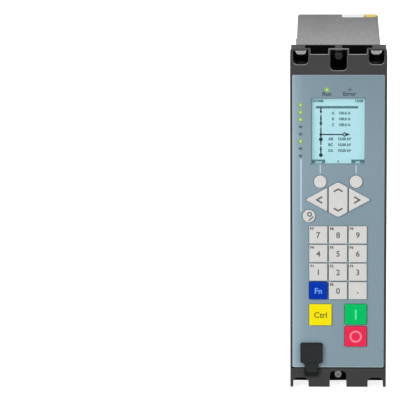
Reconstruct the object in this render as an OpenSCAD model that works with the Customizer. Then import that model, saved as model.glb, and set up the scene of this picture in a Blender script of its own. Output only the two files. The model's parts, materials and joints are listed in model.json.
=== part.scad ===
// Flush-mounted protection relay: a moulded front frame with display, keys and lamps,
// a sheet-metal housing behind it, and terminals at the back.
// Millimetres, +Z up, -Y towards the operator. The origin is the middle of the four
// panel slots, on the back face of the frame's mounting flange.

/* [Front frame] */
// Width of the front frame
frame_w = 75; // [73.5:0.5:84]
// Depth of the front frame, from the panel to its face
frame_d = 22; // [21:0.5:30]
// Thickness of the frame's side walls and of the walls round the operator board
frame_wall = 1.8; // [1.4:0.1:2.2]
// Thickness of the frame's face
face_t = 3.2; // [2.8:0.1:4]
// Thickness of the mounting flange
flange_t = 3; // [2.6:0.1:4]
// How far the flange and the upper side walls stand in from the frame's sides
flange_inset = 0.7; // [0.4:0.1:1]
// How far the flange stops above the frame's bottom edge
flange_lift = 0.2; // [0.1:0.1:3]
// Black strip above the front panel
top_strip = 20.5; // [20:0.1:24]
// Black strip below the front panel
bottom_strip = 15.9; // [15.6:0.1:22]
// Black border at each side of the front panel
side_border = 1.75; // [1.5:0.05:2.5]
// Rise of the ears above the top edge of the face
ear_rise = 4.4; // [3.4:0.1:5.4]
// Plastic between an ear's window and its sides
ear_side = 1.4; // [1:0.1:1.8]
// Plastic above an ear's window
ear_rim = 1; // [0.8:0.1:1.6]
// Thickness of the roofs that run back from the ears
roof_t = 1; // [0.8:0.1:1.6]
// Step from the top of an ear down to its roof
roof_step = 0.6; // [0.4:0.1:1]
// Width of the roof over a corner pocket
corner_roof_w = 10.8; // [8:0.1:12]
// Width of the rib over the middle pocket
middle_roof_w = 5.5; // [4:0.1:8]

/* [Pockets] */
// Width of the corner pockets
corner_pocket_w = 12; // [11:0.1:12.4]
// Depth of the upper corner pockets below the ears' top
corner_pocket_h = 12.4; // [11:0.1:14]
// Height of the lower corner notches
corner_notch_h = 7.5; // [7.2:0.1:8.4]
// Width of the middle pocket and notch
middle_pocket_w = 13; // [12:0.1:16]
// Depth of the upper middle pocket below the ears' top
middle_pocket_h = 17.1; // [16:0.1:17.5]
// Height of the lower middle notch
middle_notch_h = 12.8; // [12:0.1:13.4]
// Corner radius of the pockets
pocket_r = 3.4; // [2:0.1:4]
// Wall round each pocket
pocket_wall = 1.4; // [1:0.1:1.8]
// Drop from the face's top edge to the top of the pocket walls
pocket_wall_drop = 4; // [2:0.1:5]

/* [Panel mounting] */
// Distance between the slots across the frame
slot_pitch_x = 58.4; // [58:0.1:59]
// Distance from the frame's top or bottom edge to its slots
slot_edge = 5.75; // [5.5:0.05:6]
// Width of a slot
slot_w = 5; // [4.2:0.1:5.2]
// Length of a slot
slot_l = 8; // [6.5:0.1:9]

/* [Frame screws] */
// Distance from the frame's top or bottom edge to its screw
screw_edge = 7.7; // [7.2:0.1:8.2]
// Shank diameter of the frame screws
screw_d = 3.5; // [3:0.1:4]
// Head diameter of the frame screws
screw_head_d = 6.2; // [5.6:0.1:6.8]
// Head height of the frame screws
screw_head_h = 2.2; // [1.8:0.1:2.6]
// Height of the boss under a frame screw
boss_h = 6; // [3:0.5:9]
// Diameter of that boss
boss_d = 8.6; // [8:0.1:9.4]
// Depth of the six-lobe recess
recess_t = 1.3; // [0.8:0.1:1.6]

/* [Front panel] */
// Thickness of the front panel
panel_t = 2.4; // [2.2:0.1:3]
// Depth of the recess that takes the panel
panel_sink = 2; // [1.6:0.1:2.2]
// Bevel round the panel
panel_edge = 0.4; // [0.2:0.1:0.6]
// Corner radius of the panel
panel_r = 1.2; // [0.8:0.1:2]
// Width of the ledge that the panel sits on
panel_ledge = 2.5; // [1.5:0.1:3]
// Clearance round the panel
panel_fit = 0.1; // [0.05:0.05:0.2]
// Height of the shadow groove under the panel
groove_h = 1.1; // [0.6:0.1:1.2]
// Depth of that groove
groove_t = 1.4; // [0.8:0.1:1.8]
// Plastic left at each end of the groove
groove_end = 0.6; // [0.4:0.1:1]
// Sideways shift of display and keys from the frame's middle
operator_shift = -0.2; // [-1:0.1:1]

/* [Display] */
// Visible width of the display
display_w = 40.5; // [34:0.5:44]
// Visible height of the display
display_h = 51.1; // [44:0.1:60]
// From the lamp row down to the display
display_gap = 7.3; // [6:0.1:12]
// Rim of the window that sits on the panel
window_seat = 0.8; // [0.6:0.1:1.2]
// Thickness of the display window
window_t = 1.4; // [1:0.1:1.6]
// Rim of the display module round the visible area
module_rim = 2.6; // [2:0.1:3.2]
// Depth of the glass below the module's rim
module_sink = 0.5; // [0.3:0.1:0.8]

/* [Lamps] */
// Diameter of the lamps
lamp_d = 2.8; // [2:0.1:3.4]
// How far a lamp stands out of the panel
lamp_rise = 0.25; // [0.1:0.05:0.4]
// From the panel's top edge down to the run and error lamps
lamp_row_drop = 11.5; // [8:0.1:16]
// Distance between the run and error lamps
lamp_row_pitch = 17.6; // [12:0.1:24]
// From the panel's left edge to the column of status lamps
lamp_margin = 6.35; // [5.5:0.05:7]
// From the display's top edge down to the first status lamp
lamp_column_drop = 4.7; // [2:0.1:8]
// Distance between status lamps
lamp_pitch = 5.73; // [4.5:0.01:6.5]
// Number of status lamps
status_lamps = 8; // [8:1:8]

/* [Keys] */
// How far the keys stand out of the panel
key_rise = 1.2; // [0.8:0.1:2]
// Travel of the keys
key_travel = 0.8; // [0.4:0.1:1]
// Clearance between a key and its opening
key_fit = 0.28; // [0.2:0.02:0.32]
// Width of the lip that holds a key behind the panel
key_lip = 0.45; // [0.4:0.01:0.5]
// Thickness of that lip
lip_t = 0.9; // [0.6:0.1:1.1]
// Bevel round the top of a key
key_edge = 0.4; // [0.3:0.05:0.7]
// Corner radius of the square keys
key_r = 0.9; // [0.7:0.1:2]
// Diameter of the plunger behind a key
plunger_d = 5; // [3:0.1:6]
// Diameter of the round keys
round_key_d = 9.8; // [9:0.1:10.5]
// Distance between the two soft keys
soft_key_pitch = 27.8; // [24:0.1:30]
// From the display down to the soft keys
soft_key_gap = 9.2; // [7:0.05:12]
// From the soft keys down to the middle of the arrow keys
arrow_drop = 14.3; // [13.8:0.1:18]
// Half width of the arrow-key rhombus
arrow_half_w = 25.4; // [22:0.1:26]
// Half height of the arrow-key rhombus
arrow_half_h = 14; // [12:0.05:14.5]
// Width of the up/down rocker
rocker_w = 14.6; // [12:0.1:18]
// Flat left at the tips of the arrow keys
arrow_tip = 0.9; // [0.6:0.1:1.6]
// Clearance round the rocker
rocker_fit = 0.4; // [0.36:0.02:0.44]
// Tilt of the rocker to each side, in degrees
rocker_tilt = 2; // [1:0.1:2.2]
// Gap between arrow keys
arrow_gap = 1.1; // [1:0.05:1.4]
// From an arrow key's inner side to its plunger
plunger_inset = 4; // [2:0.1:5]
// From the rocker's middle to its plungers
rocker_plunger_z = 6.9; // [5:0.1:8]

/* [Keypad] */
// Columns of keypad keys
key_columns = 3; // [3:1:3]
// Rows of keypad keys
key_rows = 4; // [4:1:4]
// Width of a keypad key
key_w = 14.2; // [12.5:0.1:15]
// Height of a keypad key
key_h = 13.75; // [12:0.05:15]
// Gap between keypad keys
key_gap = 1.15; // [1.1:0.05:1.6]
// From the rocker's lower tip to the keypad
keypad_gap = 7.15; // [6:0.05:10]
// Depth of the ribs between keys below the panel's front
rib_sink = 1; // [0.6:0.1:1.2]
// From the panel's left edge to the lamp-reset key
reset_margin = 8.1; // [6:0.05:10]
// Gap between the lamp-reset key and the keypad
reset_gap = 3.2; // [1.8:0.1:4]

/* [Command keys] */
// Width of the control key
ctrl_w = 17.6; // [15:0.1:19]
// Height of the control key
ctrl_h = 17.1; // [15:0.1:20]
// Width of the close and open keys
command_w = 17.1; // [15:0.1:19]
// Height of the close and open keys
command_h = 16.2; // [14:0.1:17]
// From the keypad to the command keys
command_gap = 4; // [3:0.1:8]
// Gap between the close and open keys
command_rib = 1.65; // [1.6:0.05:3]

/* [Service socket and cap] */
// From the panel's left edge to the cap
cap_side_gap = 6.15; // [5:0.05:6.5]
// Width of the cap
cap_w = 17.5; // [16.5:0.1:19]
// Height of the cap
cap_h = 16.2; // [15.4:0.1:18]
// Thickness of the cap
cap_t = 3.2; // [2.4:0.1:4]
// From the control key down to the cap
cap_gap = 13.95; // [10:0.05:16]
// From the cap down to the panel's bottom edge
cap_margin = 4; // [3.2:0.1:5]
// Corner radius of the cap
cap_r = 1.6; // [1.5:0.1:3]
// Bevel round the cap
cap_edge = 0.7; // [0.4:0.1:1]
// Width of the neck under the cap
neck_w = 11.1; // [10:0.1:12]
// Thickness of the neck
neck_t = 2.3; // [1.8:0.1:2.4]
// Thickness of the plug that reaches into the socket
plug_t = 0.6; // [0.3:0.1:0.8]
// Width of the hinge knuckle
knuckle_w = 8.4; // [7:0.1:9]
// Diameter of the hinge knuckle
knuckle_d = 3; // [2.8:0.1:3.2]
// Diameter of the hinge pin
hinge_pin_d = 1.5; // [1.2:0.1:1.7]
// From the panel's bottom edge down to the hinge line
hinge_drop = 2.2; // [2.1:0.1:3]
// Length of the anchor below the hinge line
anchor_l = 4.7; // [4.4:0.1:5]
// Corner radius of the anchor's foot
anchor_r = 1.3; // [0.8:0.1:1.35]
// Diameter of the anchor's peg in the frame
peg_d = 2.2; // [1.6:0.1:2.4]
// Running clearance of the hinge pins, radial
pin_fit = 0.05; // [0.03:0.01:0.08]
// Width of the service socket
usb_w = 12.2; // [11:0.1:12.6]
// Height of the service socket
usb_h = 11; // [10:0.1:11.4]
// Depth of the service socket
usb_d = 15; // [12:0.5:17]
// Wall of the service socket
usb_wall = 0.7; // [0.5:0.1:0.9]
// Depth of the socket's mouth
usb_mouth = 11; // [8:0.5:11.5]
// Depth of the socket's rim below the panel's front
usb_sink = 1.2; // [0.9:0.1:1.6]
// Width of the socket's tongue
tongue_w = 6.1; // [5:0.1:6.5]
// Height of the socket's tongue
tongue_h = 3.7; // [3:0.1:4]

/* [Operator board] */
// Space between the front panel and the operator board
board_stand = 3.5; // [3.4:0.1:4.5]
// Thickness of all circuit boards
board_t = 1.6; // [1:0.1:2]
// Clearance of the operator board inside the panel's ledge
board_inset = 0.5; // [0.2:0.1:1]
// Diameter of the panel's posts
post_d = 4; // [3:0.1:4.4]
// From the board's edges to the posts
post_edge = 3; // [2.8:0.1:4]
// Thickness of the sheet with the contact domes
dome_sheet_t = 0.3; // [0.2:0.05:0.4]
// Height of a contact dome
dome_h = 0.4; // [0.2:0.05:0.5]
// Diameter of a contact dome
dome_d = 4; // [3:0.1:6]
// Diameter of a contact dome's top
dome_top_d = 2; // [1:0.1:2.6]
// Sheet left beyond the outermost domes
sheet_rim = 1.2; // [0.8:0.1:1.6]
// Gap between the sheet and the rocker's bracket
sheet_gap = 1; // [0.6:0.1:1.6]
// Diameter of the rocker's pivot pin
pivot_d = 1.5; // [1.2:0.1:1.6]
// Diameter of the bosses round that pin
pivot_boss_d = 3; // [2.8:0.1:3.2]
// Width of the rocker's bearing rib
pivot_rib_w = 4; // [3:0.1:6]
// Thickness of the pivot bracket's ears
pivot_ear_t = 1.2; // [0.8:0.1:1.6]

/* [Housing] */
// Width of the housing
housing_w = 66.5; // [64:0.5:67]
// How far the housing stands in from the frame's top and bottom
housing_drop = 10.4; // [10:0.1:12]
// Length of the housing behind the panel
housing_l = 200; // [180:1:230]
// Thickness of the housing sheet
housing_wall = 1.2; // [1:0.1:1.3]
// Outer radius of the housing's bends
housing_r = 2; // [1.6:0.1:3]
// Clearance of the housing in the frame's seat
seat_fit = 0.3; // [0.2:0.05:0.4]
// Width of the tabs that the frame screws hold
tab_w = 11; // [9:0.1:12]
// Rise of the tabs from the housing
tab_h = 5.4; // [5:0.1:5.8]
// Clearance between a circuit board and what guides it
guide_fit = 0.2; // [0.1:0.05:0.3]
// Thickness of the board guides
guide_t = 1; // [0.8:0.1:1.4]
// Height of the board guides
guide_h = 5; // [3:0.5:7]
// Length of the board guides
guide_l = 14; // [8:1:20]
// Place of the front board guides behind the panel
guide_front_y = 30; // [20:1:40]
// Distance of the rear board guides from the housing's back
guide_rear_y = 60; // [50:1:70]

/* [Rear] */
// Clearance of the rear plate in the housing
plate_fit = 0.15; // [0.1:0.05:0.2]
// Length of the rear plate's side lips
plate_lip = 11; // [9:0.5:13]
// Distance of the rear screws from the housing's top and bottom
rear_screw_edge = 22; // [16:1:40]
// Shank diameter of the rear screws
rear_screw_d = 3; // [2.5:0.1:3.5]
// Head diameter of the rear screws
rear_screw_head_d = 5.6; // [5:0.1:6.4]
// Head height of the rear screws
rear_screw_head_h = 1.8; // [1.4:0.1:2.2]
// Length of the rear screws under the head
rear_screw_l = 3.6; // [3:0.1:5]
// Depth of the rear screws' recess
rear_recess_t = 0.7; // [0.5:0.1:1]
// From the housing's top down to the current terminals
rear_margin = 14; // [10:1:20]
// Gap between the blocks at the back
rear_gap = 12; // [8:0.5:14]
// Clearance of the blocks in the rear plate
block_fit = 0.3; // [0.2:0.05:0.4]
// How far the terminal blocks stand out at the back
block_out = 9; // [5:0.5:14]
// How far the terminal blocks reach into the housing
block_in = 22; // [15:0.5:28]
// Plastic at the ends of a terminal block
block_end = 2; // [1:0.1:4]
// Depth of the wire holes
wire_depth = 12; // [8:0.5:14]
// Rows of current terminals
current_rows = 4; // [3:1:5]
// Distance between rows of current terminals
current_pitch = 14; // [12:0.5:16]
// Distance between the two columns of current terminals
current_column = 22; // [18:0.5:24]
// Width of a current terminal's wire hole
current_hole = 3.8; // [3:0.1:3.9]
// From a current terminal's middle to its wire hole and to its screw
current_offset = 3.8; // [3.7:0.1:4.4]
// Diameter of a current terminal's screw
current_screw_d = 6; // [5:0.1:7]
// Poles of a signal terminal block
signal_poles = 14; // [10:1:15]
// Distance between signal poles
signal_pitch = 5.6; // [5:0.1:6]
// Width of a signal terminal block
signal_w = 16; // [13:0.5:18]
// Width of a signal terminal's wire hole
signal_hole = 3.2; // [2.4:0.1:3.6]
// Diameter of a signal terminal's screw
signal_screw_d = 3.6; // [3:0.1:4]
// From a signal block's middle to its wire holes and to its screws
signal_offset = 3.2; // [3:0.1:4]
// Clearance of a terminal screw in its well, radial
well_fit = 0.2; // [0.1:0.05:0.3]
// Depth of a terminal screw's head below the block's back
screw_sink = 1; // [0.5:0.1:2]
// Length of a terminal screw
clamp_l = 6; // [4:0.5:8]
// Width of a terminal screw's slot
clamp_slot_w = 0.9; // [0.6:0.1:1.2]
// Depth of a terminal screw's slot
clamp_slot_t = 1.1; // [0.6:0.1:1.6]
// Width of one network socket's mouth
port_w = 11.8; // [11:0.1:12.5]
// Height of one network socket's mouth
port_h = 8.4; // [7.5:0.1:9]
// Depth of a network socket's mouth
port_d = 13; // [10:0.5:14]
// Wall round the network sockets
port_wall = 2; // [1.5:0.1:3]
// How far the network sockets stand out at the back
port_out = 1.5; // [1:0.1:3]
// From the network sockets down to the earthing screw
earth_gap = 12; // [9:0.5:14]
// Shank diameter of the earthing screw
earth_d = 4; // [3:0.1:5]
// Head diameter of the earthing screw
earth_head_d = 8; // [7:0.1:9]
// Head height of the earthing screw
earth_head_h = 2.7; // [2:0.1:3.4]
// Length of the earthing screw behind its washer
earth_l = 4.8; // [4:0.1:6]
// Diameter of the earthing screw's washer
earth_washer_d = 11; // [10:0.1:13]
// Thickness of that washer
earth_washer_t = 1; // [0.8:0.1:1.4]

/* [Boards inside] */
// Distance between the facing sides of the two boards
board_span = 44.8; // [42:0.1:48]
// From the panel back to the boards
board_front = 4; // [2:0.5:10]
// Distance of the boards from the housing's back
board_rear = 6; // [4:0.5:10]
// Diameter of a current transformer
ct_d = 24; // [18:0.5:26]
// Bore of a current transformer
ct_bore = 8; // [6:0.5:10]
// Thickness of a current transformer
ct_t = 14; // [10:0.5:18]
// Gap between current transformers
ct_gap = 3; // [2:0.5:6]
// Current transformers above each other
ct_rows = 2; // [2:1:2]
// Height of an output relay above its board
relay_t = 15.5; // [12:0.5:18]
// Length of an output relay
relay_l = 28; // [24:0.5:32]
// Width of an output relay
relay_w = 12.6; // [10:0.1:14]
// Gap between output relays
relay_gap = 2.4; // [1:0.1:4]
// Number of output relays
relay_count = 4; // [3:1:5]
// Side of the supply transformer's core
core_w = 30; // [24:0.5:36]
// Thickness of the supply transformer's core
core_t = 9; // [6:0.5:12]
// Width of the supply transformer's winding
coil_w = 20; // [16:0.5:24]
// Height of the supply transformer above its board
coil_t = 19; // [14:0.5:20]
// Width of the connector between the boards
link_w = 40; // [30:0.5:60]
// Thickness of the connector between the boards
link_t = 6; // [4:0.5:10]
// Overlap of that connector with the main board
link_lap = 10; // [6:0.5:16]

/* [Hidden] */
$fn = 48;
sliver = 0.02;
past = 1;
lip_play = 0.05;
travel_play = 0.1;
face_play = 0.05;
hinge_play = 0.15;
crown_share = 0.7;
crown_flat = 0.4;
lobe_core = 0.36;
lobe_reach = 0.18;
lobe_size = 0.13;
lobe_turn = 60;
frame_colour = [0.11, 0.11, 0.12];
panel_colour = [0.55, 0.64, 0.68];
key_colour = [0.86, 0.85, 0.83];
board_colour = [0.12, 0.36, 0.22];
steel_colour = [0.62, 0.63, 0.64];
block_colour = [0.16, 0.17, 0.18];

keypad_w = key_columns * key_w + (key_columns - 1) * key_gap;
keypad_h = key_rows * key_h + (key_rows - 1) * key_gap;
panel_w = frame_w - 2 * side_border;
panel_h = lamp_row_drop + display_gap + display_h + soft_key_gap + round_key_d / 2 + arrow_drop
    + arrow_half_h + keypad_gap + keypad_h + command_gap + ctrl_h + cap_gap + cap_h + cap_margin;
frame_h = top_strip + panel_h + bottom_strip;
housing_h = frame_h - 2 * housing_drop;
slot_pitch_z = frame_h - 2 * slot_edge;

z_top = frame_h / 2;
z_bottom = -z_top;
z_face_top = z_top - ear_rise;
z_panel_top = z_top - top_strip;
z_panel_bottom = z_bottom + bottom_strip;
z_panel = (z_panel_top + z_panel_bottom) / 2;
z_lamp_row = z_panel_top - lamp_row_drop;
z_display_top = z_lamp_row - display_gap;
z_display = z_display_top - display_h / 2;
z_soft_key = z_display_top - display_h - soft_key_gap - round_key_d / 2;
z_arrow = z_soft_key - arrow_drop;
z_keypad_top = z_arrow - arrow_half_h - keypad_gap;
z_keypad = z_keypad_top - keypad_h / 2;
z_reset = z_keypad_top + reset_gap + round_key_d / 2;
z_command_top = z_keypad_top - keypad_h - command_gap;
z_ctrl = z_command_top - ctrl_h / 2;
z_close = z_command_top - command_h / 2;
z_open = z_close - command_h - command_rib;
z_cap = z_command_top - ctrl_h - cap_gap - cap_h / 2;
z_hinge = z_panel_bottom - hinge_drop;
z_peg = z_hinge - (knuckle_d / 2 + anchor_l) / 2;

x_mid = operator_shift;
x_ctrl = x_mid - keypad_w / 2 + ctrl_w / 2;
x_command = x_mid + keypad_w / 2 - command_w / 2;
x_cap = cap_side_gap + cap_w / 2 - panel_w / 2;
x_lamps = lamp_margin - panel_w / 2;
x_reset = reset_margin + round_key_d / 2 - panel_w / 2;

y_face = -frame_d;
y_face_back = y_face + face_t;
y_panel_back = y_face + panel_sink;
y_panel_front = y_panel_back - panel_t;
y_window_back = y_panel_front + face_play + window_t;
y_key_front = y_panel_front - key_rise;
y_lip_front = y_panel_back + lip_play;
y_lip_back = y_lip_front + lip_t;
y_board = y_panel_back + board_stand;
y_domes = y_board - dome_sheet_t - dome_h;
y_plunger = y_domes - key_travel - travel_play;
y_pivot = (y_panel_back + y_board) / 2;
y_hinge = y_face - knuckle_d / 2 - hinge_play;
y_cap_back = y_panel_front - face_play;
y_screw_seat = -flange_t - boss_h;
y_back = housing_l;
y_plate = y_back - housing_wall;

flange_w = frame_w - 2 * flange_inset;
z_roof = z_top - roof_step;
seat_t = housing_wall + 2 * face_play;
pockets = [[-slot_pitch_x / 2, corner_pocket_w, corner_pocket_h, corner_notch_h],
    [0, middle_pocket_w, middle_pocket_h, middle_notch_h],
    [slot_pitch_x / 2, corner_pocket_w, corner_pocket_h, corner_notch_h]];
hmi_w = panel_w - 2 * panel_ledge - 2 * board_inset;
hmi_h = panel_h - 2 * panel_ledge - 2 * board_inset;
posts = [for (s = [-1, 1],
    z = [z_panel + hmi_h / 2 - post_edge, z_keypad, z_panel - hmi_h / 2 + post_edge])
    [s * (hmi_w / 2 - post_edge), z]];
slope = arrow_half_h / arrow_half_w;
lean = sqrt(1 + slope * slope);
key_names = ["7", "8", "9", "4", "5", "6", "1", "2", "3", "fn", "0", "point"];
key_places = [for (i = [0 : len(key_names) - 1])
    [x_mid + (i % key_columns - (key_columns - 1) / 2) * (key_w + key_gap),
        z_keypad + ((key_rows - 1) / 2 - floor(i / key_columns)) * (key_h + key_gap)]];
lamp_places = [for (i = [0 : status_lamps - 1]) z_display_top - lamp_column_drop - i * lamp_pitch];
x_plunger = rocker_w / 2 + arrow_gap + plunger_inset + plunger_d / 2;
x_ear = pivot_rib_w / 2 + guide_fit;

inner_w = housing_w - 2 * housing_wall;
inner_h = housing_h - 2 * housing_wall;
plate_w = inner_w - 2 * plate_fit;
plate_h = inner_h - 2 * plate_fit;
board_l = housing_l - board_front - board_rear;
board_h = inner_h - 2 * guide_fit;
current_h = current_rows * current_pitch + 2 * block_end;
signal_h = signal_poles * signal_pitch + 2 * block_end;
network_w = 2 * port_w + 3 * port_wall;
network_h = port_h + 2 * port_wall;
z_current = inner_h / 2 - rear_margin - current_h / 2;
z_signal = z_current - current_h / 2 - rear_gap - signal_h / 2;
z_network = z_signal - signal_h / 2 - rear_gap - network_h / 2;
z_earth = z_network - network_h / 2 - earth_gap;
x_board = board_span / 2;
x_signal = x_board - signal_w / 2;
x_network = network_w / 2 - x_board;
x_earth = x_board / 2;
current_poles = [for (s = [-1, 1], i = [0 : current_rows - 1])
    [s * current_column / 2, z_current + (i - (current_rows - 1) / 2) * current_pitch]];
signal_rows = [for (i = [0 : signal_poles - 1]) z_signal + (i - (signal_poles - 1) / 2) * signal_pitch];
y_ct = y_back - block_in - ct_gap - ct_d / 2;
ct_step = ct_d + ct_gap;
y_relay = y_back - block_in - relay_gap - relay_l / 2;

// A flat outline drawn in X and Z, made solid between two depths.
module slab(y0, y1) translate([0, y1, 0]) rotate([90, 0, 0]) linear_extrude(y1 - y0) children();

// A round bar along Y.
module bar(d, y0, y1) translate([0, y1, 0]) rotate([90, 0, 0]) cylinder(d = d, h = y1 - y0);

// A round bar along X, from the middle out to both sides.
module cross_bar(d, w) rotate([0, 90, 0]) cylinder(d = d, h = w, center = true);

module rounded_rect(w, h, r) {
    square([w - 2 * r, h], center = true);
    square([w, h - 2 * r], center = true);
    for (x = [-1, 1], z = [-1, 1]) translate([x * (w / 2 - r), z * (h / 2 - r)]) circle(r = r);
}

// Outline of a pocket that hangs from its top edge and is rounded below.
module pocket(w, h, r) {
    translate([-w / 2, r - h]) square([w, h - r]);
    translate([r - w / 2, -h]) square([w - 2 * r, r]);
    for (s = [-1, 1]) translate([s * (w / 2 - r), r - h]) circle(r = r);
}

module slot(w, l) {
    square([l - w, w], center = true);
    for (s = [-1, 1]) translate([s * (l - w) / 2, 0]) circle(d = w);
}

// The face: a plate with three ears above and three notches below.
module face_outline() difference() {
    union() {
        translate([-frame_w / 2, z_bottom]) square([frame_w, z_face_top - z_bottom]);
        for (p = pockets)
            translate([p[0] - p[1] / 2 - ear_side, z_face_top - past])
                square([p[1] + 2 * ear_side, ear_rise + past]);
    }
    for (p = pockets) translate([p[0], z_top - ear_rim]) pocket(p[1], p[2] - ear_rim, pocket_r);
    notches(0);
}

module notches(grow)
    for (p = pockets) translate([p[0], z_bottom + (grow > 0 ? flange_lift : -past)])
        mirror([0, 1]) pocket(p[1] + 2 * grow,
            p[3] + grow - (grow > 0 ? flange_lift : -past), pocket_r + grow);

module upper_pockets(grow, top)
    for (p = pockets) translate([p[0], top])
        pocket(p[1] + 2 * grow, p[2] + grow - (z_top - top), pocket_r + grow);

module front_frame() color(frame_colour) difference() {
    union() {
        slab(y_face, y_face_back) face_outline();
        for (s = [-1, 1]) {
            translate([s * (frame_w - frame_wall) / 2, 0, 0])
                slab(y_face, 0) translate([-frame_wall / 2, z_bottom])
                    square([frame_wall, z_face_top - z_bottom]);
            translate([s * (flange_w - frame_wall) / 2, 0, 0])
                slab(y_face_back, 0) translate([-frame_wall / 2, z_panel_top])
                    square([frame_wall, z_roof - z_panel_top]);
            translate([s * (flange_w - corner_roof_w) / 2, 0, 0])
                slab(y_face, 0) translate([-corner_roof_w / 2, z_roof - roof_t])
                    square([corner_roof_w, roof_t]);
        }
        slab(y_face, 0) translate([-middle_roof_w / 2, z_roof - roof_t]) square([middle_roof_w, roof_t]);
        slab(-flange_t, 0) translate([-flange_w / 2, z_bottom + flange_lift])
            square([flange_w, z_roof - z_bottom - flange_lift]);
        for (z = [z_panel_top, z_panel_bottom - frame_wall])
            slab(y_face, 0) translate([-frame_w / 2, z]) square([frame_w, frame_wall]);
        difference() {
            slab(y_face, -flange_t) {
                upper_pockets(pocket_wall, z_face_top - pocket_wall_drop);
                notches(pocket_wall);
            }
            slab(y_face - past, past) {
                upper_pockets(0, z_top - ear_rim);
                notches(0);
            }
        }
        for (s = [-1, 1]) translate([0, 0, s * (z_top - screw_edge)]) bar(boss_d, y_screw_seat, -flange_t);
    }
    // recess and opening for the front panel
    translate([0, 0, z_panel]) {
        slab(y_face - past, y_panel_back)
            rounded_rect(panel_w + 2 * panel_fit, panel_h + 2 * panel_fit, panel_r);
        slab(y_face, y_face_back + past)
            square([panel_w - 2 * panel_ledge, panel_h - 2 * panel_ledge], center = true);
        slab(-flange_t - past, past)
            square([inner_w - 2 * housing_wall, panel_h - 2 * panel_ledge], center = true);
    }
    // shadow groove under the panel
    slab(y_face - past, y_face + groove_t) translate([groove_end - frame_w / 2, z_panel_bottom - groove_h])
        square([frame_w - 2 * groove_end, groove_h]);
    // seat for the housing and its tabs
    slab(-seat_t, past) {
        rounded_rect(housing_w + 2 * seat_fit, housing_h + 2 * seat_fit, housing_r);
        square([tab_w + 2 * seat_fit, housing_h + 2 * tab_h + 2 * seat_fit], center = true);
    }
    // slots to the panel, screw holes, and the anchor's peg hole
    for (x = [-1, 1], z = [-1, 1]) translate([x * slot_pitch_x / 2, 0, z * slot_pitch_z / 2])
        slab(-flange_t - past, past) slot(slot_w, slot_l);
    for (s = [-1, 1]) translate([0, 0, s * (z_top - screw_edge)])
        bar(screw_d + 2 * seat_fit, y_screw_seat - past, past);
    translate([x_cap, 0, z_peg]) bar(peg_d + 2 * pin_fit, y_face - past, y_face_back + past);
}

module arrow_outline(side, grow) {
    far = arrow_half_w + grow * lean / slope;
    near = rocker_w / 2 + arrow_gap - grow;
    tip = arrow_half_w - arrow_tip + grow;
    polygon([[side * near, (far - near) * slope], [side * tip, (far - tip) * slope],
        [side * tip, (tip - far) * slope], [side * near, (near - far) * slope]]);
}

module rocker_outline(grow) {
    peak = arrow_half_h + grow * lean;
    w = rocker_w / 2 + grow;
    flat_z = arrow_half_h - arrow_tip / 2 + grow;
    flat_x = (peak - flat_z) / slope;
    polygon([[-w, peak - w * slope], [-flat_x, flat_z], [flat_x, flat_z], [w, peak - w * slope],
        [w, w * slope - peak], [flat_x, -flat_z], [-flat_x, -flat_z], [-w, w * slope - peak]]);
}

module front_panel() color(panel_colour) difference() {
    union() {
        translate([0, 0, z_panel]) hull() {
            slab(y_panel_front + panel_edge, y_panel_back) rounded_rect(panel_w, panel_h, panel_r);
            slab(y_panel_front, y_panel_front + sliver)
                rounded_rect(panel_w - 2 * panel_edge, panel_h - 2 * panel_edge, panel_r);
        }
        for (p = posts) translate([p[0], 0, p[1]]) bar(post_d, y_panel_back - sliver, y_board);
    }
    // display
    translate([x_mid, 0, z_display]) {
        slab(y_panel_front - past, y_window_back) square([display_w + 2 * window_seat + 2 * face_play,
            display_h + 2 * window_seat + 2 * face_play], center = true);
        slab(y_panel_front, y_panel_back + past) square([display_w, display_h], center = true);
    }
    // lamps
    for (s = [-1, 1]) translate([x_mid + s * lamp_row_pitch / 2, 0, z_lamp_row]) lamp_hole();
    for (z = lamp_places) translate([x_lamps, 0, z]) lamp_hole();
    // round keys
    for (s = [-1, 1]) translate([x_mid + s * soft_key_pitch / 2, 0, z_soft_key]) round_opening();
    translate([x_reset, 0, z_reset]) round_opening();
    // arrow keys
    translate([x_mid, 0, z_arrow]) {
        slab(y_panel_front - past, y_panel_front + rib_sink)
            polygon([[-arrow_half_w - key_fit, 0], [0, arrow_half_h + key_fit],
                [arrow_half_w + key_fit, 0], [0, -arrow_half_h - key_fit]]);
        slab(y_panel_front - past, y_panel_back + past) {
            arrow_outline(-1, key_fit);
            arrow_outline(1, key_fit);
            rocker_outline(rocker_fit);
        }
    }
    // keypad
    translate([x_mid, 0, z_keypad]) slab(y_panel_front - past, y_panel_front + rib_sink)
        rounded_rect(keypad_w + 2 * key_fit, keypad_h + 2 * key_fit, key_r);
    for (p = key_places) translate([p[0], 0, p[1]]) key_opening(key_w, key_h);
    // command keys and service socket
    translate([x_ctrl, 0, z_ctrl]) key_opening(ctrl_w, ctrl_h);
    for (z = [z_close, z_open]) translate([x_command, 0, z]) key_opening(command_w, command_h);
    translate([x_cap, 0, z_cap]) slab(y_panel_front - past, y_panel_back + past)
        square([usb_w + 2 * block_fit, usb_h + 2 * block_fit], center = true);
}

module lamp_hole() bar(lamp_d + 2 * panel_fit, y_panel_front - past, y_panel_back + past);

module round_opening() bar(round_key_d + 2 * key_fit, y_panel_front - past, y_panel_back + past);

module key_opening(w, h) slab(y_panel_front - past, y_panel_back + past)
    rounded_rect(w + 2 * key_fit, h + 2 * key_fit, key_r + key_fit);

module display_window() color([0.8, 0.9, 0.92, 0.4]) translate([x_mid, 0, z_display])
    slab(y_panel_front + face_play, y_window_back)
        square([display_w + 2 * window_seat, display_h + 2 * window_seat], center = true);

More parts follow.
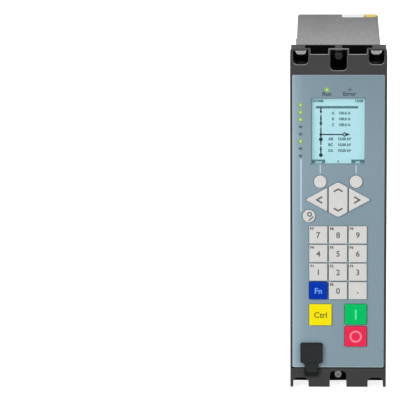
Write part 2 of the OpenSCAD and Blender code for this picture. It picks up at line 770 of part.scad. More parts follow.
module display_module() color([0.5, 0.55, 0.55]) translate([x_mid, 0, z_display]) difference() {
    slab(y_panel_back, y_board)
        square([display_w + 2 * module_rim, display_h + 2 * module_rim], center = true);
    slab(y_panel_back - past, y_panel_back + module_sink) square([display_w, display_h], center = true);
}

// A light guide from the operator board to the panel's front.
module lamp(x, z) color([0.55, 0.75, 0.5]) translate([x, 0, z]) {
    bar(lamp_d, y_panel_front, y_board);
    translate([0, y_panel_front, 0]) rotate([90, 0, 0])
        cylinder(d1 = lamp_d, d2 = lamp_d - 2 * lamp_rise, h = lamp_rise);
}

// A key: children are its outline, its bevelled top and its lip.
module key_body() {
    hull() {
        slab(y_key_front + key_edge, y_key_front + key_edge + sliver) children(0);
        slab(y_key_front, y_key_front + sliver) children(1);
    }
    slab(y_key_front + key_edge, y_lip_front) children(0);
    slab(y_lip_front, y_lip_back) children(2);
    bar(plunger_d, y_lip_back, y_plunger);
}

module square_key(x, z, w, h, paint) color(paint) translate([x, 0, z]) key_body() {
    rounded_rect(w, h, key_r);
    rounded_rect(w - 2 * key_edge, h - 2 * key_edge, key_r);
    rounded_rect(w + 2 * key_lip, h + 2 * key_lip, key_r + key_lip);
}

module round_key(x, z) color(key_colour) translate([x, 0, z]) {
    bar(round_key_d, y_key_front + key_edge, y_lip_front);
    translate([0, y_key_front + key_edge, 0]) rotate([90, 0, 0])
        cylinder(d1 = round_key_d, d2 = round_key_d - 2 * key_edge, h = key_edge);
    bar(round_key_d + 2 * key_lip + 2 * key_fit, y_lip_front, y_lip_back);
    bar(plunger_d, y_lip_back, y_plunger);
}

module arrow_key(side) color(key_colour) translate([x_mid, 0, z_arrow]) {
    hull() {
        slab(y_key_front + key_edge, y_key_front + key_edge + sliver) arrow_outline(side, 0);
        slab(y_key_front, y_key_front + sliver) arrow_outline(side, -key_edge);
    }
    slab(y_key_front + key_edge, y_lip_front) arrow_outline(side, 0);
    slab(y_lip_front, y_lip_back) arrow_outline(side, key_lip);
    translate([side * x_plunger, 0, 0]) bar(plunger_d, y_lip_back, y_plunger);
}

// The rocker tilts on a pin behind its middle and has a plunger at each end.
module up_down_rocker() color(key_colour) translate([x_mid, 0, z_arrow]) {
    hull() {
        slab(y_key_front + key_edge, y_key_front + key_edge + sliver) rocker_outline(0);
        slab(y_key_front, y_key_front + sliver) rocker_outline(-key_edge);
    }
    slab(y_key_front + key_edge, y_panel_back) rocker_outline(0);
    difference() {
        union() {
            translate([-pivot_rib_w / 2, y_panel_back - sliver, -pivot_boss_d / 2])
                cube([pivot_rib_w, y_pivot - y_panel_back + sliver, pivot_boss_d]);
            translate([0, y_pivot, 0]) cross_bar(pivot_boss_d, pivot_rib_w);
        }
        translate([0, y_pivot, 0]) cross_bar(pivot_d + 2 * pin_fit, pivot_rib_w + past);
    }
    for (s = [-1, 1]) translate([0, 0, s * rocker_plunger_z]) bar(plunger_d, y_panel_back, y_plunger);
}

module rocker_pivot() color(block_colour) translate([x_mid, 0, z_arrow]) {
    for (s = [-1, 1]) translate([s * (x_ear + pivot_ear_t / 2), 0, 0]) {
        translate([-pivot_ear_t / 2, y_pivot, -pivot_boss_d / 2])
            cube([pivot_ear_t, y_board - y_pivot, pivot_boss_d]);
        translate([0, y_pivot, 0]) cross_bar(pivot_boss_d, pivot_ear_t);
    }
    translate([0, y_pivot, 0]) cross_bar(pivot_d, 2 * x_ear + pivot_ear_t);
}

module operator_board() color(board_colour) difference() {
    translate([0, 0, z_panel]) slab(y_board, y_board + board_t) square([hmi_w, hmi_h], center = true);
    translate([x_cap, 0, z_cap]) slab(y_board - past, y_board + board_t + past)
        square([usb_w + 2 * guide_fit, usb_h + 2 * guide_fit], center = true);
}

// Sheet with a contact dome under each key, open round the rocker's bracket.
module dome_sheet() color([0.75, 0.7, 0.6]) {
    low = [x_reset - dome_d / 2 - sheet_rim, z_open - dome_d / 2 - sheet_rim];
    high = [x_mid + keypad_w / 2, z_soft_key + dome_d / 2 + sheet_rim];
    difference() {
        slab(y_board - dome_sheet_t, y_board) translate(low) square(high - low);
        translate([x_mid, 0, z_arrow]) slab(y_board - past, y_board + past)
            square([2 * (x_ear + pivot_ear_t + sheet_gap), pivot_boss_d + 2 * sheet_gap], center = true);
    }
    for (p = key_places) dome(p[0], p[1]);
    for (s = [-1, 1]) {
        dome(x_mid + s * soft_key_pitch / 2, z_soft_key);
        dome(x_mid + s * x_plunger, z_arrow);
        dome(x_mid, z_arrow + s * rocker_plunger_z);
    }
    dome(x_reset, z_reset);
    dome(x_ctrl, z_ctrl);
    for (z = [z_close, z_open]) dome(x_command, z);
}

module dome(x, z) translate([x, y_board - dome_sheet_t, z]) rotate([90, 0, 0])
    cylinder(d1 = dome_d, d2 = dome_top_d, h = dome_h);

module service_socket() color(steel_colour) translate([x_cap, 0, z_cap]) {
    y0 = y_panel_front + usb_sink;
    difference() {
        slab(y0, y0 + usb_d) square([usb_w, usb_h], center = true);
        slab(y0 - past, y0 + usb_mouth)
            square([usb_w - 2 * usb_wall, usb_h - 2 * usb_wall], center = true);
    }
    slab(y0 + usb_wall, y0 + usb_mouth + sliver) square([tongue_w, tongue_h], center = true);
}

// Cap, neck and knuckle in one rubber moulding.
module service_cap() color([0.13, 0.14, 0.14]) difference() {
    union() {
        translate([x_cap, 0, z_cap]) {
            hull() {
                slab(y_cap_back - cap_t + cap_edge, y_cap_back) rounded_rect(cap_w, cap_h, cap_r);
                slab(y_cap_back - cap_t, y_cap_back - cap_t + sliver)
                    rounded_rect(cap_w - 2 * cap_edge, cap_h - 2 * cap_edge, cap_r);
            }
            slab(y_cap_back - sliver, y_cap_back + plug_t)
                square([usb_w - 2 * usb_wall, usb_h - 2 * usb_wall], center = true);
        }
        translate([x_cap - neck_w / 2, y_cap_back - neck_t, z_hinge + knuckle_d / 2 + guide_fit])
            cube([neck_w, neck_t, z_cap - cap_h / 2 + cap_r - z_hinge - knuckle_d / 2]);
        translate([x_cap - knuckle_w / 2, y_cap_back - neck_t, z_hinge])
            cube([knuckle_w, neck_t, knuckle_d]);
        translate([x_cap, y_hinge, z_hinge]) cross_bar(knuckle_d, knuckle_w);
    }
    translate([x_cap, y_hinge, z_hinge]) cross_bar(hinge_pin_d + 2 * pin_fit, knuckle_w + past);
}

// Ears with the hinge pin, on a rounded foot pegged into the frame.
module cap_anchor() color([0.13, 0.14, 0.14]) translate([x_cap, 0, 0]) {
    foot_h = anchor_l - knuckle_d / 2 - guide_fit;
    ear_w = (neck_w - knuckle_w) / 2 - guide_fit;
    translate([0, 0, z_hinge - anchor_l + foot_h])
        slab(y_hinge, y_face) pocket(neck_w, foot_h, anchor_r);
    for (s = [-1, 1]) translate([s * (knuckle_w / 2 + guide_fit + ear_w / 2), y_hinge, z_hinge]) {
        cross_bar(knuckle_d, ear_w);
        translate([-ear_w / 2, 0, -knuckle_d / 2 - 2 * guide_fit])
            cube([ear_w, y_face - y_hinge, knuckle_d / 2 + 2 * guide_fit]);
    }
    translate([0, y_hinge, z_hinge]) cross_bar(hinge_pin_d, knuckle_w + 2 * guide_fit + ear_w);
    translate([0, 0, z_peg]) bar(peg_d, y_face - sliver, y_face_back);
}

// A screw whose seat is at the origin, its head towards -Y.
module screw(d, l, head_d, head_h, recess) difference() {
    rotate([90, 0, 0]) rotate_extrude() polygon([[0, -l], [d / 2, -l], [d / 2, 0], [head_d / 2, 0],
        [head_d / 2, head_h * crown_share], [head_d * crown_flat, head_h], [0, head_h]]);
    slab(-head_h - past, recess - head_h) {
        circle(d = head_d * lobe_core);
        for (a = [0 : lobe_turn : 360 - lobe_turn]) rotate(a)
            translate([head_d * lobe_reach, 0]) circle(d = head_d * lobe_size);
    }
}

module frame_screws() color(steel_colour) for (s = [-1, 1])
    translate([0, y_screw_seat, s * (z_top - screw_edge)])
        screw(screw_d, -y_screw_seat - face_play, screw_head_d, screw_head_h, recess_t);

module housing() color(steel_colour) difference() {
    union() {
        difference() {
            slab(face_play - seat_t, y_back) rounded_rect(housing_w, housing_h, housing_r);
            slab(-seat_t - past, y_back + past) rounded_rect(inner_w, inner_h, housing_r - housing_wall);
        }
        for (s = [-1, 1]) translate([0, 0, s * (housing_h / 2 + (tab_h - housing_wall) / 2)])
            slab(face_play - seat_t, -face_play) square([tab_w, tab_h + housing_wall], center = true);
        // guides for the two boards, top and bottom, front and rear
        for (x = [-1, 1], z = [-1, 1], y = [guide_front_y, y_back - guide_rear_y])
            for (o = [-guide_fit - guide_t, board_t + guide_fit])
                translate([x * (x_board + o + guide_t / 2), y,
                    z * (inner_h / 2 - (guide_h - housing_wall / 2) / 2)])
                    cube([guide_t, guide_l, guide_h + housing_wall / 2], center = true);
    }
    for (s = [-1, 1]) translate([0, 0, s * (z_top - screw_edge)])
        bar(screw_d + 2 * pin_fit, -seat_t - past, past);
    for (x = [-1, 1], z = [-1, 1]) rear_screw_hole(x, z, pin_fit * 2);
}

module rear_screw_hole(x, z, play)
    translate([x * housing_w / 2, y_back - plate_lip / 2, z * (housing_h / 2 - rear_screw_edge)])
        cross_bar(rear_screw_d + 2 * play, 2 * rear_screw_l);

module rear_plate() color(steel_colour) difference() {
    union() {
        slab(y_plate, y_back) rounded_rect(plate_w, plate_h, housing_r - housing_wall);
        for (s = [-1, 1]) translate([s * (plate_w - housing_wall) / 2, 0, 0])
            slab(y_back - plate_lip, y_back)
                square([housing_wall, plate_h - 2 * housing_r], center = true);
    }
    slab(y_plate - past, y_back + past) {
        translate([0, z_current])
            square([board_span + 2 * block_fit, current_h + 2 * block_fit], center = true);
        for (s = [-1, 1]) translate([s * x_signal, z_signal])
            square([signal_w + 2 * block_fit, signal_h + 2 * block_fit], center = true);
        translate([x_network, z_network])
            square([network_w + 2 * block_fit, network_h + 2 * block_fit], center = true);
    }
    translate([x_earth, 0, z_earth]) bar(earth_d + 2 * pin_fit, y_plate - past, y_back + past);
    for (x = [-1, 1], z = [-1, 1]) rear_screw_hole(x, z, pin_fit);
}

module rear_screws() color(steel_colour) for (x = [-1, 1], z = [-1, 1])
    translate([x * housing_w / 2, y_back - plate_lip / 2, z * (housing_h / 2 - rear_screw_edge)])
        rotate([0, 0, x * 90])
            screw(rear_screw_d, rear_screw_l, rear_screw_head_d, rear_screw_head_h, rear_recess_t);

// A terminal block with wire holes and screw wells in its back.
module terminal_block(x, z, w, h, poles, hole, well, wire_x, screw_x) color(block_colour) difference() {
    translate([x, 0, z]) slab(y_back - block_in, y_back + block_out) square([w, h], center = true);
    for (p = poles) translate([p[0], 0, p[1]]) {
        translate([wire_x, 0, 0]) slab(y_back + block_out - wire_depth, y_back + block_out + past)
            square([hole, hole], center = true);
        translate([screw_x, 0, 0]) bar(well + 2 * well_fit,
            y_back + block_out - screw_sink - clamp_l, y_back + block_out + past);
    }
}

module clamp_screw(x, z, d) translate([x, 0, z]) difference() {
    bar(d, y_back + block_out - screw_sink - clamp_l, y_back + block_out - screw_sink);
    slab(y_back + block_out - screw_sink - clamp_slot_t, y_back + block_out)
        square([clamp_slot_w, 2 * d], center = true);
}

module clamp_screws() color(steel_colour) {
    for (p = current_poles) clamp_screw(p[0] + current_offset, p[1], current_screw_d);
    for (s = [-1, 1], z = signal_rows) clamp_screw(s * x_signal + signal_offset, z, signal_screw_d);
}

module signal_terminals(s) terminal_block(s * x_signal, z_signal, signal_w, signal_h,
    [for (z = signal_rows) [s * x_signal, z]], signal_hole, signal_screw_d, -signal_offset, signal_offset);

module network_sockets() color(steel_colour) translate([x_network, 0, z_network]) difference() {
    slab(y_back + port_out - port_d - 2 * port_wall, y_back + port_out)
        square([network_w, network_h], center = true);
    for (s = [-1, 1]) translate([s * (port_w + port_wall) / 2, 0, 0])
        slab(y_back + port_out - port_d, y_back + port_out + past) square([port_w, port_h], center = true);
}

module earth_screw() color([0.8, 0.7, 0.35]) translate([x_earth, y_back, z_earth]) rotate([0, 0, 180]) {
    bar(earth_washer_d, -earth_washer_t, 0);
    translate([0, -earth_washer_t, 0])
        screw(earth_d, earth_washer_t + earth_l, earth_head_d, earth_head_h, recess_t);
}

// A board that stands along the housing; side -1 is left, 1 is right.
module board(side) color(board_colour)
    translate([side * (x_board + board_t / 2), board_front + board_l / 2, 0])
        cube([board_t, board_l, board_h], center = true);

module board_connector() color(block_colour)
    translate([-x_board, y_board + board_t, z_panel - link_w / 2])
        cube([link_t, board_front + link_lap - y_board - board_t, link_w]);

module current_transformer(i) color([0.75, 0.6, 0.25])
    translate([-x_board + ct_t / 2, y_ct - floor((i - 1) / ct_rows) * ct_step,
        z_current + ((i - 1) % ct_rows - (ct_rows - 1) / 2) * ct_step]) difference() {
            cross_bar(ct_d, ct_t);
            cross_bar(ct_bore, ct_t + past);
        }

module output_relays() color([0.2, 0.35, 0.6]) for (i = [0 : relay_count - 1])
    translate([x_board - relay_t, y_relay - relay_l / 2,
        z_signal + (i - relay_count / 2) * (relay_w + relay_gap)])
        cube([relay_t, relay_l, relay_w]);

module supply_transformer() color([0.25, 0.25, 0.27])
    translate([x_board, y_relay - relay_l / 2 - relay_gap - core_w / 2, z_network]) {
        translate([-coil_t / 2, 0, 0]) cube([coil_t, coil_w, coil_w], center = true);
        translate([-coil_t / 2, 0, 0]) cube([core_t, core_w, core_w], center = true);
    }

front_frame();
front_panel();
display_window();
display_module();
lamp(x_mid - lamp_row_pitch / 2, z_lamp_row);  // run_lamp
lamp(x_mid + lamp_row_pitch / 2, z_lamp_row);  // error_lamp
for (i = [1 : status_lamps])
    lamp(x_lamps, lamp_places[i - 1]);
for (i = [0 : len(key_names) - 1])
    square_key(key_places[i][0], key_places[i][1], key_w, key_h,
            key_names[i] == "fn" ? [0.1, 0.25, 0.7] : key_colour);
square_key(x_ctrl, z_ctrl, ctrl_w, ctrl_h, [0.95, 0.85, 0.1]);  // key_ctrl
square_key(x_command, z_close, command_w, command_h, [0.05, 0.75, 0.35]);  // key_close
square_key(x_command, z_open, command_w, command_h, [0.9, 0.2, 0.3]);  // key_open
round_key(x_mid - soft_key_pitch / 2, z_soft_key);  // soft_key_left
round_key(x_mid + soft_key_pitch / 2, z_soft_key);  // soft_key_right
arrow_key(-1);  // arrow_key_left
arrow_key(1);  // arrow_key_right
up_down_rocker();
round_key(x_reset, z_reset);  // lamp_reset_key
rocker_pivot();
operator_board();
dome_sheet();
service_socket();
service_cap();
cap_anchor();
frame_screws();
housing();
rear_plate();
rear_screws();
terminal_block(0, z_current, board_span, current_h, current_poles, current_hole, current_screw_d,  // current_terminals
        -current_offset, current_offset);
signal_terminals(-1);  // signal_terminals_left
signal_terminals(1);  // signal_terminals_right
clamp_screws();
network_sockets();
earth_screw();
board(-1);  // main_board
board(1);  // supply_board
board_connector();
for (i = [1 : 4])
    current_transformer(i);
output_relays();
supply_transformer();
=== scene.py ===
"""Looks of a flush-mounted protection relay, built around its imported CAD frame."""

import json
import logging
import math
from dataclasses import dataclass, field
from enum import Enum
from typing import Callable, ClassVar, Protocol, Sequence

import bmesh
import bpy
from mathutils import Matrix, Vector
from mathutils.geometry import intersect_point_line

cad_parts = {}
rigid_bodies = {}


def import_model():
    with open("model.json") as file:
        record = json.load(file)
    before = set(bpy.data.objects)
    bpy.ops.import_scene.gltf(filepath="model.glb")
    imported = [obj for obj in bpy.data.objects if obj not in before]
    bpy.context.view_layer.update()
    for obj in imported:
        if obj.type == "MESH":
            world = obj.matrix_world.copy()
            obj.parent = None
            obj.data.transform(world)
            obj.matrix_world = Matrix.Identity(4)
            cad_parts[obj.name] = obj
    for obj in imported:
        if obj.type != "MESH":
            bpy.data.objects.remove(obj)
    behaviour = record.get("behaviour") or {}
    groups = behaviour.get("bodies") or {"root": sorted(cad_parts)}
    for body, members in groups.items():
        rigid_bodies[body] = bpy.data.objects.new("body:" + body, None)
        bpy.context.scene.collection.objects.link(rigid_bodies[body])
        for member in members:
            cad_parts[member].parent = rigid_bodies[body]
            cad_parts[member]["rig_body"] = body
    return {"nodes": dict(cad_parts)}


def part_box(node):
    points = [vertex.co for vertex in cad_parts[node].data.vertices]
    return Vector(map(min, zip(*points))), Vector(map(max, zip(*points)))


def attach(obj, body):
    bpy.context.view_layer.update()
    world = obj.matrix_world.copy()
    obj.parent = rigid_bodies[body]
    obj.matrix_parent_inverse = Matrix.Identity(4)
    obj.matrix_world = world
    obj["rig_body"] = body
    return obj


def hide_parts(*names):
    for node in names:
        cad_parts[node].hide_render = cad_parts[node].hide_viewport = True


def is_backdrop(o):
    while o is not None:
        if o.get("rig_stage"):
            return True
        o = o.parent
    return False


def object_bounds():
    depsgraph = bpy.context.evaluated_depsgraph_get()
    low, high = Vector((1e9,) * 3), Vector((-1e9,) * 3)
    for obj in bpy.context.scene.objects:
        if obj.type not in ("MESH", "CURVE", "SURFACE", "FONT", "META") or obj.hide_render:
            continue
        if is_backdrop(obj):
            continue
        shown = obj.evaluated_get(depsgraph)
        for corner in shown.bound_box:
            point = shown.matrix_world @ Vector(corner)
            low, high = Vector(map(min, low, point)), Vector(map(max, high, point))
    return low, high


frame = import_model()

LOG = logging.getLogger("relay")
MM = 0.001
TINY = 1e-9
WELD = 2e-6
INK_WELD = 1e-7
FLAT_ANGLE = math.radians(0.5)
SHARP_ANGLE = math.radians(30)
SMOOTH_ANGLE = math.radians(35)
BEVEL_ROOM = 1.1
NOISE_DETAIL = 3.0
NOISE_LOW, NOISE_HIGH = 0.3, 0.7
MARKS_SCALE = 35.0
MARKS_SWING = 0.07
LEAST_ROUGHNESS = 0.02
BUMP_HEIGHT = 0.2 * MM
INK_ROUGHNESS = 0.6
MIX_SHARE, MIX_FIRST, MIX_SECOND, MIX_RESULT = 0, 6, 7, 2
WHITE = (1.0, 1.0, 1.0, 1.0)
MOSTLY = 0.5
LEANING = 0.3
# Shares of painted highlight or shade on edges that face up, face the front, or face elsewhere.
UPPER_EDGE_LIGHT, FRONT_EDGE_LIGHT, OTHER_EDGE_LIGHT = 0.8, 0.4, 0.15
SMALL_RING = 28
ROOT = "case"
UPRIGHT = Matrix.Rotation(math.pi / 2, 4, "X")
ABOUT_FACE = Matrix.Rotation(math.pi, 4, "Z")

Point = tuple[float, float]
Pair = tuple[float, float]
Colour = tuple[float, float, float]
Mark = Callable[[Vector, Vector], float]


class Axis(Enum):
    """An axis of the part, named as the node socket that carries it."""

    ACROSS = "X"
    DEPTH = "Y"
    HEIGHT = "Z"


class Grain(Enum):
    """How a surface is broken up: the noise scale per metre and the strength of its bump."""

    MOULDED = (1400.0, 0.10)
    SATIN = (2600.0, 0.04)
    ROLLED = (420.0, 0.06)
    RUBBERY = (900.0, 0.14)
    WOVEN = (700.0, 0.08)
    POLISHED = (120.0, 0.01)


class Facing(Enum):
    """The side of the relay that a print is read from."""

    FRONT = -1.0
    BACK = 1.0


@dataclass(frozen=True)
class Shade:
    """Painted light and shade: how a colour changes along one axis of the part.

    Attributes:
        axis: The axis.
        start: Where the first stop is, in metres.
        end: Where the last stop is, in metres.
        stops: Places between 0 and 1, each with the share of the colour that the painted shade leaves there.
    """

    axis: Axis
    start: float
    end: float
    stops: tuple[Pair, ...]

    def nodes(self, tree: bpy.types.NodeTree, colour: bpy.types.NodeSocket) -> bpy.types.NodeSocket:
        """Add the shade's nodes.

        Args:
            tree: The material's node tree.
            colour: The colour so far.

        Returns:
            The shaded colour.
        """
        place = tree.nodes.new("ShaderNodeTexCoord")
        split = tree.nodes.new("ShaderNodeSeparateXYZ")
        spread = tree.nodes.new("ShaderNodeMapRange")
        spread.inputs["From Min"].default_value = self.start
        spread.inputs["From Max"].default_value = self.end
        ramp = tree.nodes.new("ShaderNodeValToRGB")
        elements = ramp.color_ramp.elements
        while len(elements) < len(self.stops):
            elements.new(1.0)
        for element, (position, share) in zip(elements, self.stops):
            element.position = position
            element.color = (share, share, share, 1.0)
        blend = tree.nodes.new("ShaderNodeMix")
        blend.data_type = "RGBA"
        blend.blend_type = "MULTIPLY"
        blend.inputs[MIX_SHARE].default_value = 1.0
        tree.links.new(place.outputs["Object"], split.inputs["Vector"])
        tree.links.new(split.outputs[self.axis.value], spread.inputs["Value"])
        tree.links.new(spread.outputs["Result"], ramp.inputs["Fac"])
        tree.links.new(colour, blend.inputs[MIX_FIRST])
        tree.links.new(ramp.outputs["Color"], blend.inputs[MIX_SECOND])
        return blend.outputs[MIX_RESULT]


@dataclass(frozen=True)
class Finish:
    """A surface finish: its colour, its shine, its grain, any glow, and any painted light and shade.

    Attributes:
        name: Name of the Blender material.
        colour: Linear base colour.
        roughness: Mean roughness.
        grain: How the surface is broken up.
        metallic: Metallic share.
        specular: Strength of the reflections off a surface that isn't metal.
        mottle: How far the colour strays, as a share of itself.
        streak: Stretch of the grain along the depth, for rolled sheet.
        alpha: Opacity.
        glow: Strength of the light that the surface gives off.
        edge: Colour of the painted highlight on the softened edges, or of painted shade where it is darker
            than the base.
        deep: Factor on the colour of the faces that are marked as recessed: painted shade below 1, painted
            light above 1.
        shades: Painted light and shade along the part's axes.
        slot: The record's material slot, where it isn't the finish's own name; not used.
    """

    name: str
    colour: Colour
    roughness: float = 0.5
    grain: Grain = Grain.MOULDED
    metallic: float = 0.0
    specular: float = 0.2
    mottle: float = 0.06
    streak: float = 1.0
    alpha: float = 1.0
    glow: float = 0.0
    edge: Colour | None = None
    deep: float | None = None
    shades: tuple[Shade, ...] = ()
    slot: str | None = None

    def material(self) -> bpy.types.Material:
        """Make the material, or find it if it was made before.

        Returns:
            The Blender material with its node tree.
        """
        label = f"{self.name}_look"
        made = bpy.data.materials.get(label)
        if made is not None:
            return made
        made = bpy.data.materials.new(label)
        made.use_nodes = True
        tree = made.node_tree
        shader = tree.nodes["Principled BSDF"]
        shader.inputs["Metallic"].default_value = self.metallic
        shader.inputs["Specular IOR Level"].default_value = self.specular
        shader.inputs["Alpha"].default_value = self.alpha
        noise = self._noise(tree, self.grain.value[0])
        colour = self._mottled(tree, noise)
        # Painted light and shade: the gradients, the shade in recesses and the highlights on edges.
        for shade in self.shades:
            colour = shade.nodes(tree, colour)
        if self.deep is not None:
            colour = self._marked(tree, colour, "deep", (self.deep,) * 3, "MULTIPLY")
        if self.edge is not None:
            colour = self._marked(tree, colour, "edge", self.edge, "MIX")
        tree.links.new(colour, shader.inputs["Base Color"])
        self._shine(tree, noise, shader)
        if self.glow > 0.0:
            shader.inputs["Emission Color"].default_value = (*self.colour, 1.0)
            shader.inputs["Emission Strength"].default_value = self.glow
        made.diffuse_color = (*self.colour, self.alpha)
        LOG.debug("finish %s", self.name)
        return made

    def _noise(self, tree: bpy.types.NodeTree, scale: float) -> bpy.types.Node:
        """Add noise on object coordinates.

        Args:
            tree: The material's node tree.
            scale: Scale of the noise, per metre.

        Returns:
            The noise node.
        """
        place = tree.nodes.new("ShaderNodeTexCoord")
        stretch = tree.nodes.new("ShaderNodeMapping")
        stretch.inputs["Scale"].default_value = (1.0, 1.0 / self.streak, 1.0)
        noise = tree.nodes.new("ShaderNodeTexNoise")
        noise.inputs["Scale"].default_value = scale
        noise.inputs["Detail"].default_value = NOISE_DETAIL
        tree.links.new(place.outputs["Object"], stretch.inputs["Vector"])
        tree.links.new(stretch.outputs["Vector"], noise.inputs["Vector"])
        return noise

    def _mottled(self, tree: bpy.types.NodeTree, noise: bpy.types.Node) -> bpy.types.NodeSocket:
        """Let the base colour stray with the noise.

        Args:
            tree: The material's node tree.
            noise: The grain's noise.

        Returns:
            The mottled colour.
        """
        ramp = tree.nodes.new("ShaderNodeValToRGB")
        low, high = ramp.color_ramp.elements
        low.position, high.position = NOISE_LOW, NOISE_HIGH
        low.color = (*(c * (1.0 - self.mottle) for c in self.colour), 1.0)
        high.color = (*(min(1.0, c * (1.0 + self.mottle)) for c in self.colour), 1.0)
        tree.links.new(noise.outputs["Fac"], ramp.inputs["Fac"])
        return ramp.outputs["Color"]

    def _marked(self, tree: bpy.types.NodeTree, colour: bpy.types.NodeSocket, mark: str, other: Colour,
                blend_type: str) -> bpy.types.NodeSocket:
        """Paint light or shade onto the colour where the mesh is marked.

        Args:
            tree: The material's node tree.
            colour: The colour so far.
            mark: Name of the attribute that marks the faces.
            other: Colour to blend in there.
            blend_type: How it is blended.

        Returns:
            The changed colour.
        """
        share = tree.nodes.new("ShaderNodeAttribute")
        share.attribute_name = mark
        blend = tree.nodes.new("ShaderNodeMix")
        blend.data_type = "RGBA"
        blend.blend_type = blend_type
        blend.inputs[MIX_SECOND].default_value = (*other, 1.0)
        tree.links.new(share.outputs["Fac"], blend.inputs[MIX_SHARE])
        tree.links.new(colour, blend.inputs[MIX_FIRST])
        return blend.outputs[MIX_RESULT]

    def _shine(self, tree: bpy.types.NodeTree, noise: bpy.types.Node, shader: bpy.types.Node) -> None:
        """Vary the roughness with handling marks and raise a fine bump from the grain.

        Args:
            tree: The material's node tree.
            noise: The grain's noise.
            shader: The surface shader.
        """
        marks = self._noise(tree, MARKS_SCALE)
        spread = tree.nodes.new("ShaderNodeMapRange")
        spread.inputs["From Min"].default_value = NOISE_LOW
        spread.inputs["From Max"].default_value = NOISE_HIGH
        spread.inputs["To Min"].default_value = max(LEAST_ROUGHNESS, self.roughness - MARKS_SWING)
        spread.inputs["To Max"].default_value = min(1.0, self.roughness + MARKS_SWING)
        bump = tree.nodes.new("ShaderNodeBump")
        bump.inputs["Strength"].default_value = self.grain.value[1]
        bump.inputs["Distance"].default_value = BUMP_HEIGHT
        tree.links.new(marks.outputs["Fac"], spread.inputs["Value"])
        tree.links.new(spread.outputs["Result"], shader.inputs["Roughness"])
        tree.links.new(noise.outputs["Fac"], bump.inputs["Height"])
        tree.links.new(bump.outputs["Normal"], shader.inputs["Normal"])


def ink(name: str, colour: Colour) -> Finish:
    """Mix a printing ink."""
    return Finish(f"ink_{name}", colour, INK_ROUGHNESS, Grain.SATIN)


HALF_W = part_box("front_frame")[1].x
# Painted shade: the frame darkens towards its right side, away from the key light.
FRAME_SIDE_SHADE = Shade(Axis.ACROSS, -HALF_W, HALF_W, ((0.0, 1.0), (0.55, 1.0), (1.0, 0.9)))
# FRAME_BLACK: its edge colour is a painted highlight on the bevels, and deep paints shade into the pockets.
FRAME_BLACK = Finish("frame_black", (0.056, 0.055, 0.057), 0.65, specular=0.05,
                     edge=(0.55, 0.55, 0.56), deep=0.03, shades=(FRAME_SIDE_SHADE,))
# Painted light and shade on the panel: lighter at its left edge, darker towards the right and at the top.
PANEL_SIDE_SHADE = Shade(Axis.ACROSS, -HALF_W, HALF_W, ((0.02, 1.0), (0.14, 0.74), (0.5, 0.685), (1.0, 0.67)))
PANEL_HEIGHT_SHADE = Shade(Axis.HEIGHT, -120.0 * MM, 115.0 * MM,
                   ((0.0, 1.03), (0.5, 0.96), (0.75, 0.97), (1.0, 0.85)))
# PANEL_BLUE: its edge colour is a painted highlight on the outer bevels, and deep paints light onto the ribs
# between the keys.
PANEL_BLUE = Finish("panel_bluegrey", (0.335, 0.465, 0.54), 0.55, Grain.SATIN, mottle=0.03, specular=0.12,
                    edge=(0.60, 0.70, 0.76), deep=1.8, shades=(PANEL_SIDE_SHADE, PANEL_HEIGHT_SHADE))
WINDOW = Finish("window_clear", (0.25, 0.36, 0.40), 0.06, Grain.POLISHED, alpha=0.05)
LCD = Finish("display_glass", (0.40, 0.66, 0.712), 0.4, Grain.POLISHED, mottle=0.015, specular=0.1, glow=0.25)
LCD_INK = Finish("display_ink", (0.002, 0.014, 0.018), 0.5, Grain.POLISHED, specular=0.03)
LCD_PALE = Finish("display_pale", (0.33, 0.56, 0.61), 0.4, Grain.POLISHED, specular=0.1, glow=0.25)
LCD_TEAL = Finish("display_teal", (0.084, 0.20, 0.23), 0.5, Grain.POLISHED, specular=0.05)
# The keys' edge colours are painted highlights on their softened edges.
KEY_LIGHT = Finish("key_light", (0.655, 0.65, 0.635), 0.5, Grain.SATIN, mottle=0.025, specular=0.12,
                   edge=(0.78, 0.77, 0.76))
KEY_BLUE = Finish("key_blue", (0.0, 0.034, 0.40), 0.45, Grain.SATIN, specular=0.06, edge=(0.02, 0.09, 0.6))
KEY_YELLOW = Finish("key_yellow", (0.93, 0.79, 0.003), 0.45, Grain.SATIN, mottle=0.03, specular=0.06,
                    edge=(0.95, 0.86, 0.1))
KEY_GREEN = Finish("key_green", (0.0, 0.52, 0.12), 0.45, Grain.SATIN, specular=0.06, edge=(0.05, 0.62, 0.25))
KEY_RED = Finish("key_red", (0.82, 0.025, 0.083), 0.45, Grain.SATIN, specular=0.06, edge=(0.88, 0.1, 0.17))
INK_DARK = ink("dark", (0.035, 0.03, 0.03))
INK_OLIVE = ink("olive", (0.19, 0.145, 0.004))
INK_GREY = ink("grey", (0.115, 0.112, 0.112))
INK_SKY = ink("sky", (0.17, 0.36, 0.95))
INK_SLATE = ink("slate", (0.06, 0.08, 0.10))
INK_PALE = ink("pale", (0.46, 0.56, 0.66))
INK_MINT = ink("mint", (0.10, 0.84, 0.36))
INK_ROSE = ink("rose", (0.97, 0.25, 0.34))
LAMP_LIT = Finish("lamp_lit", (0.26, 0.44, 0.11), 0.3, Grain.POLISHED, glow=0.25)
LAMP_CORE = Finish("lamp_core", (0.45, 0.63, 0.22), 0.3, Grain.POLISHED, glow=0.25)
LAMP_HALO = Finish("lamp_halo", (0.24, 0.37, 0.25), 0.5, Grain.SATIN)
LAMP_DARK = Finish("lamp_dark", (0.20, 0.29, 0.33), 0.3, Grain.POLISHED)
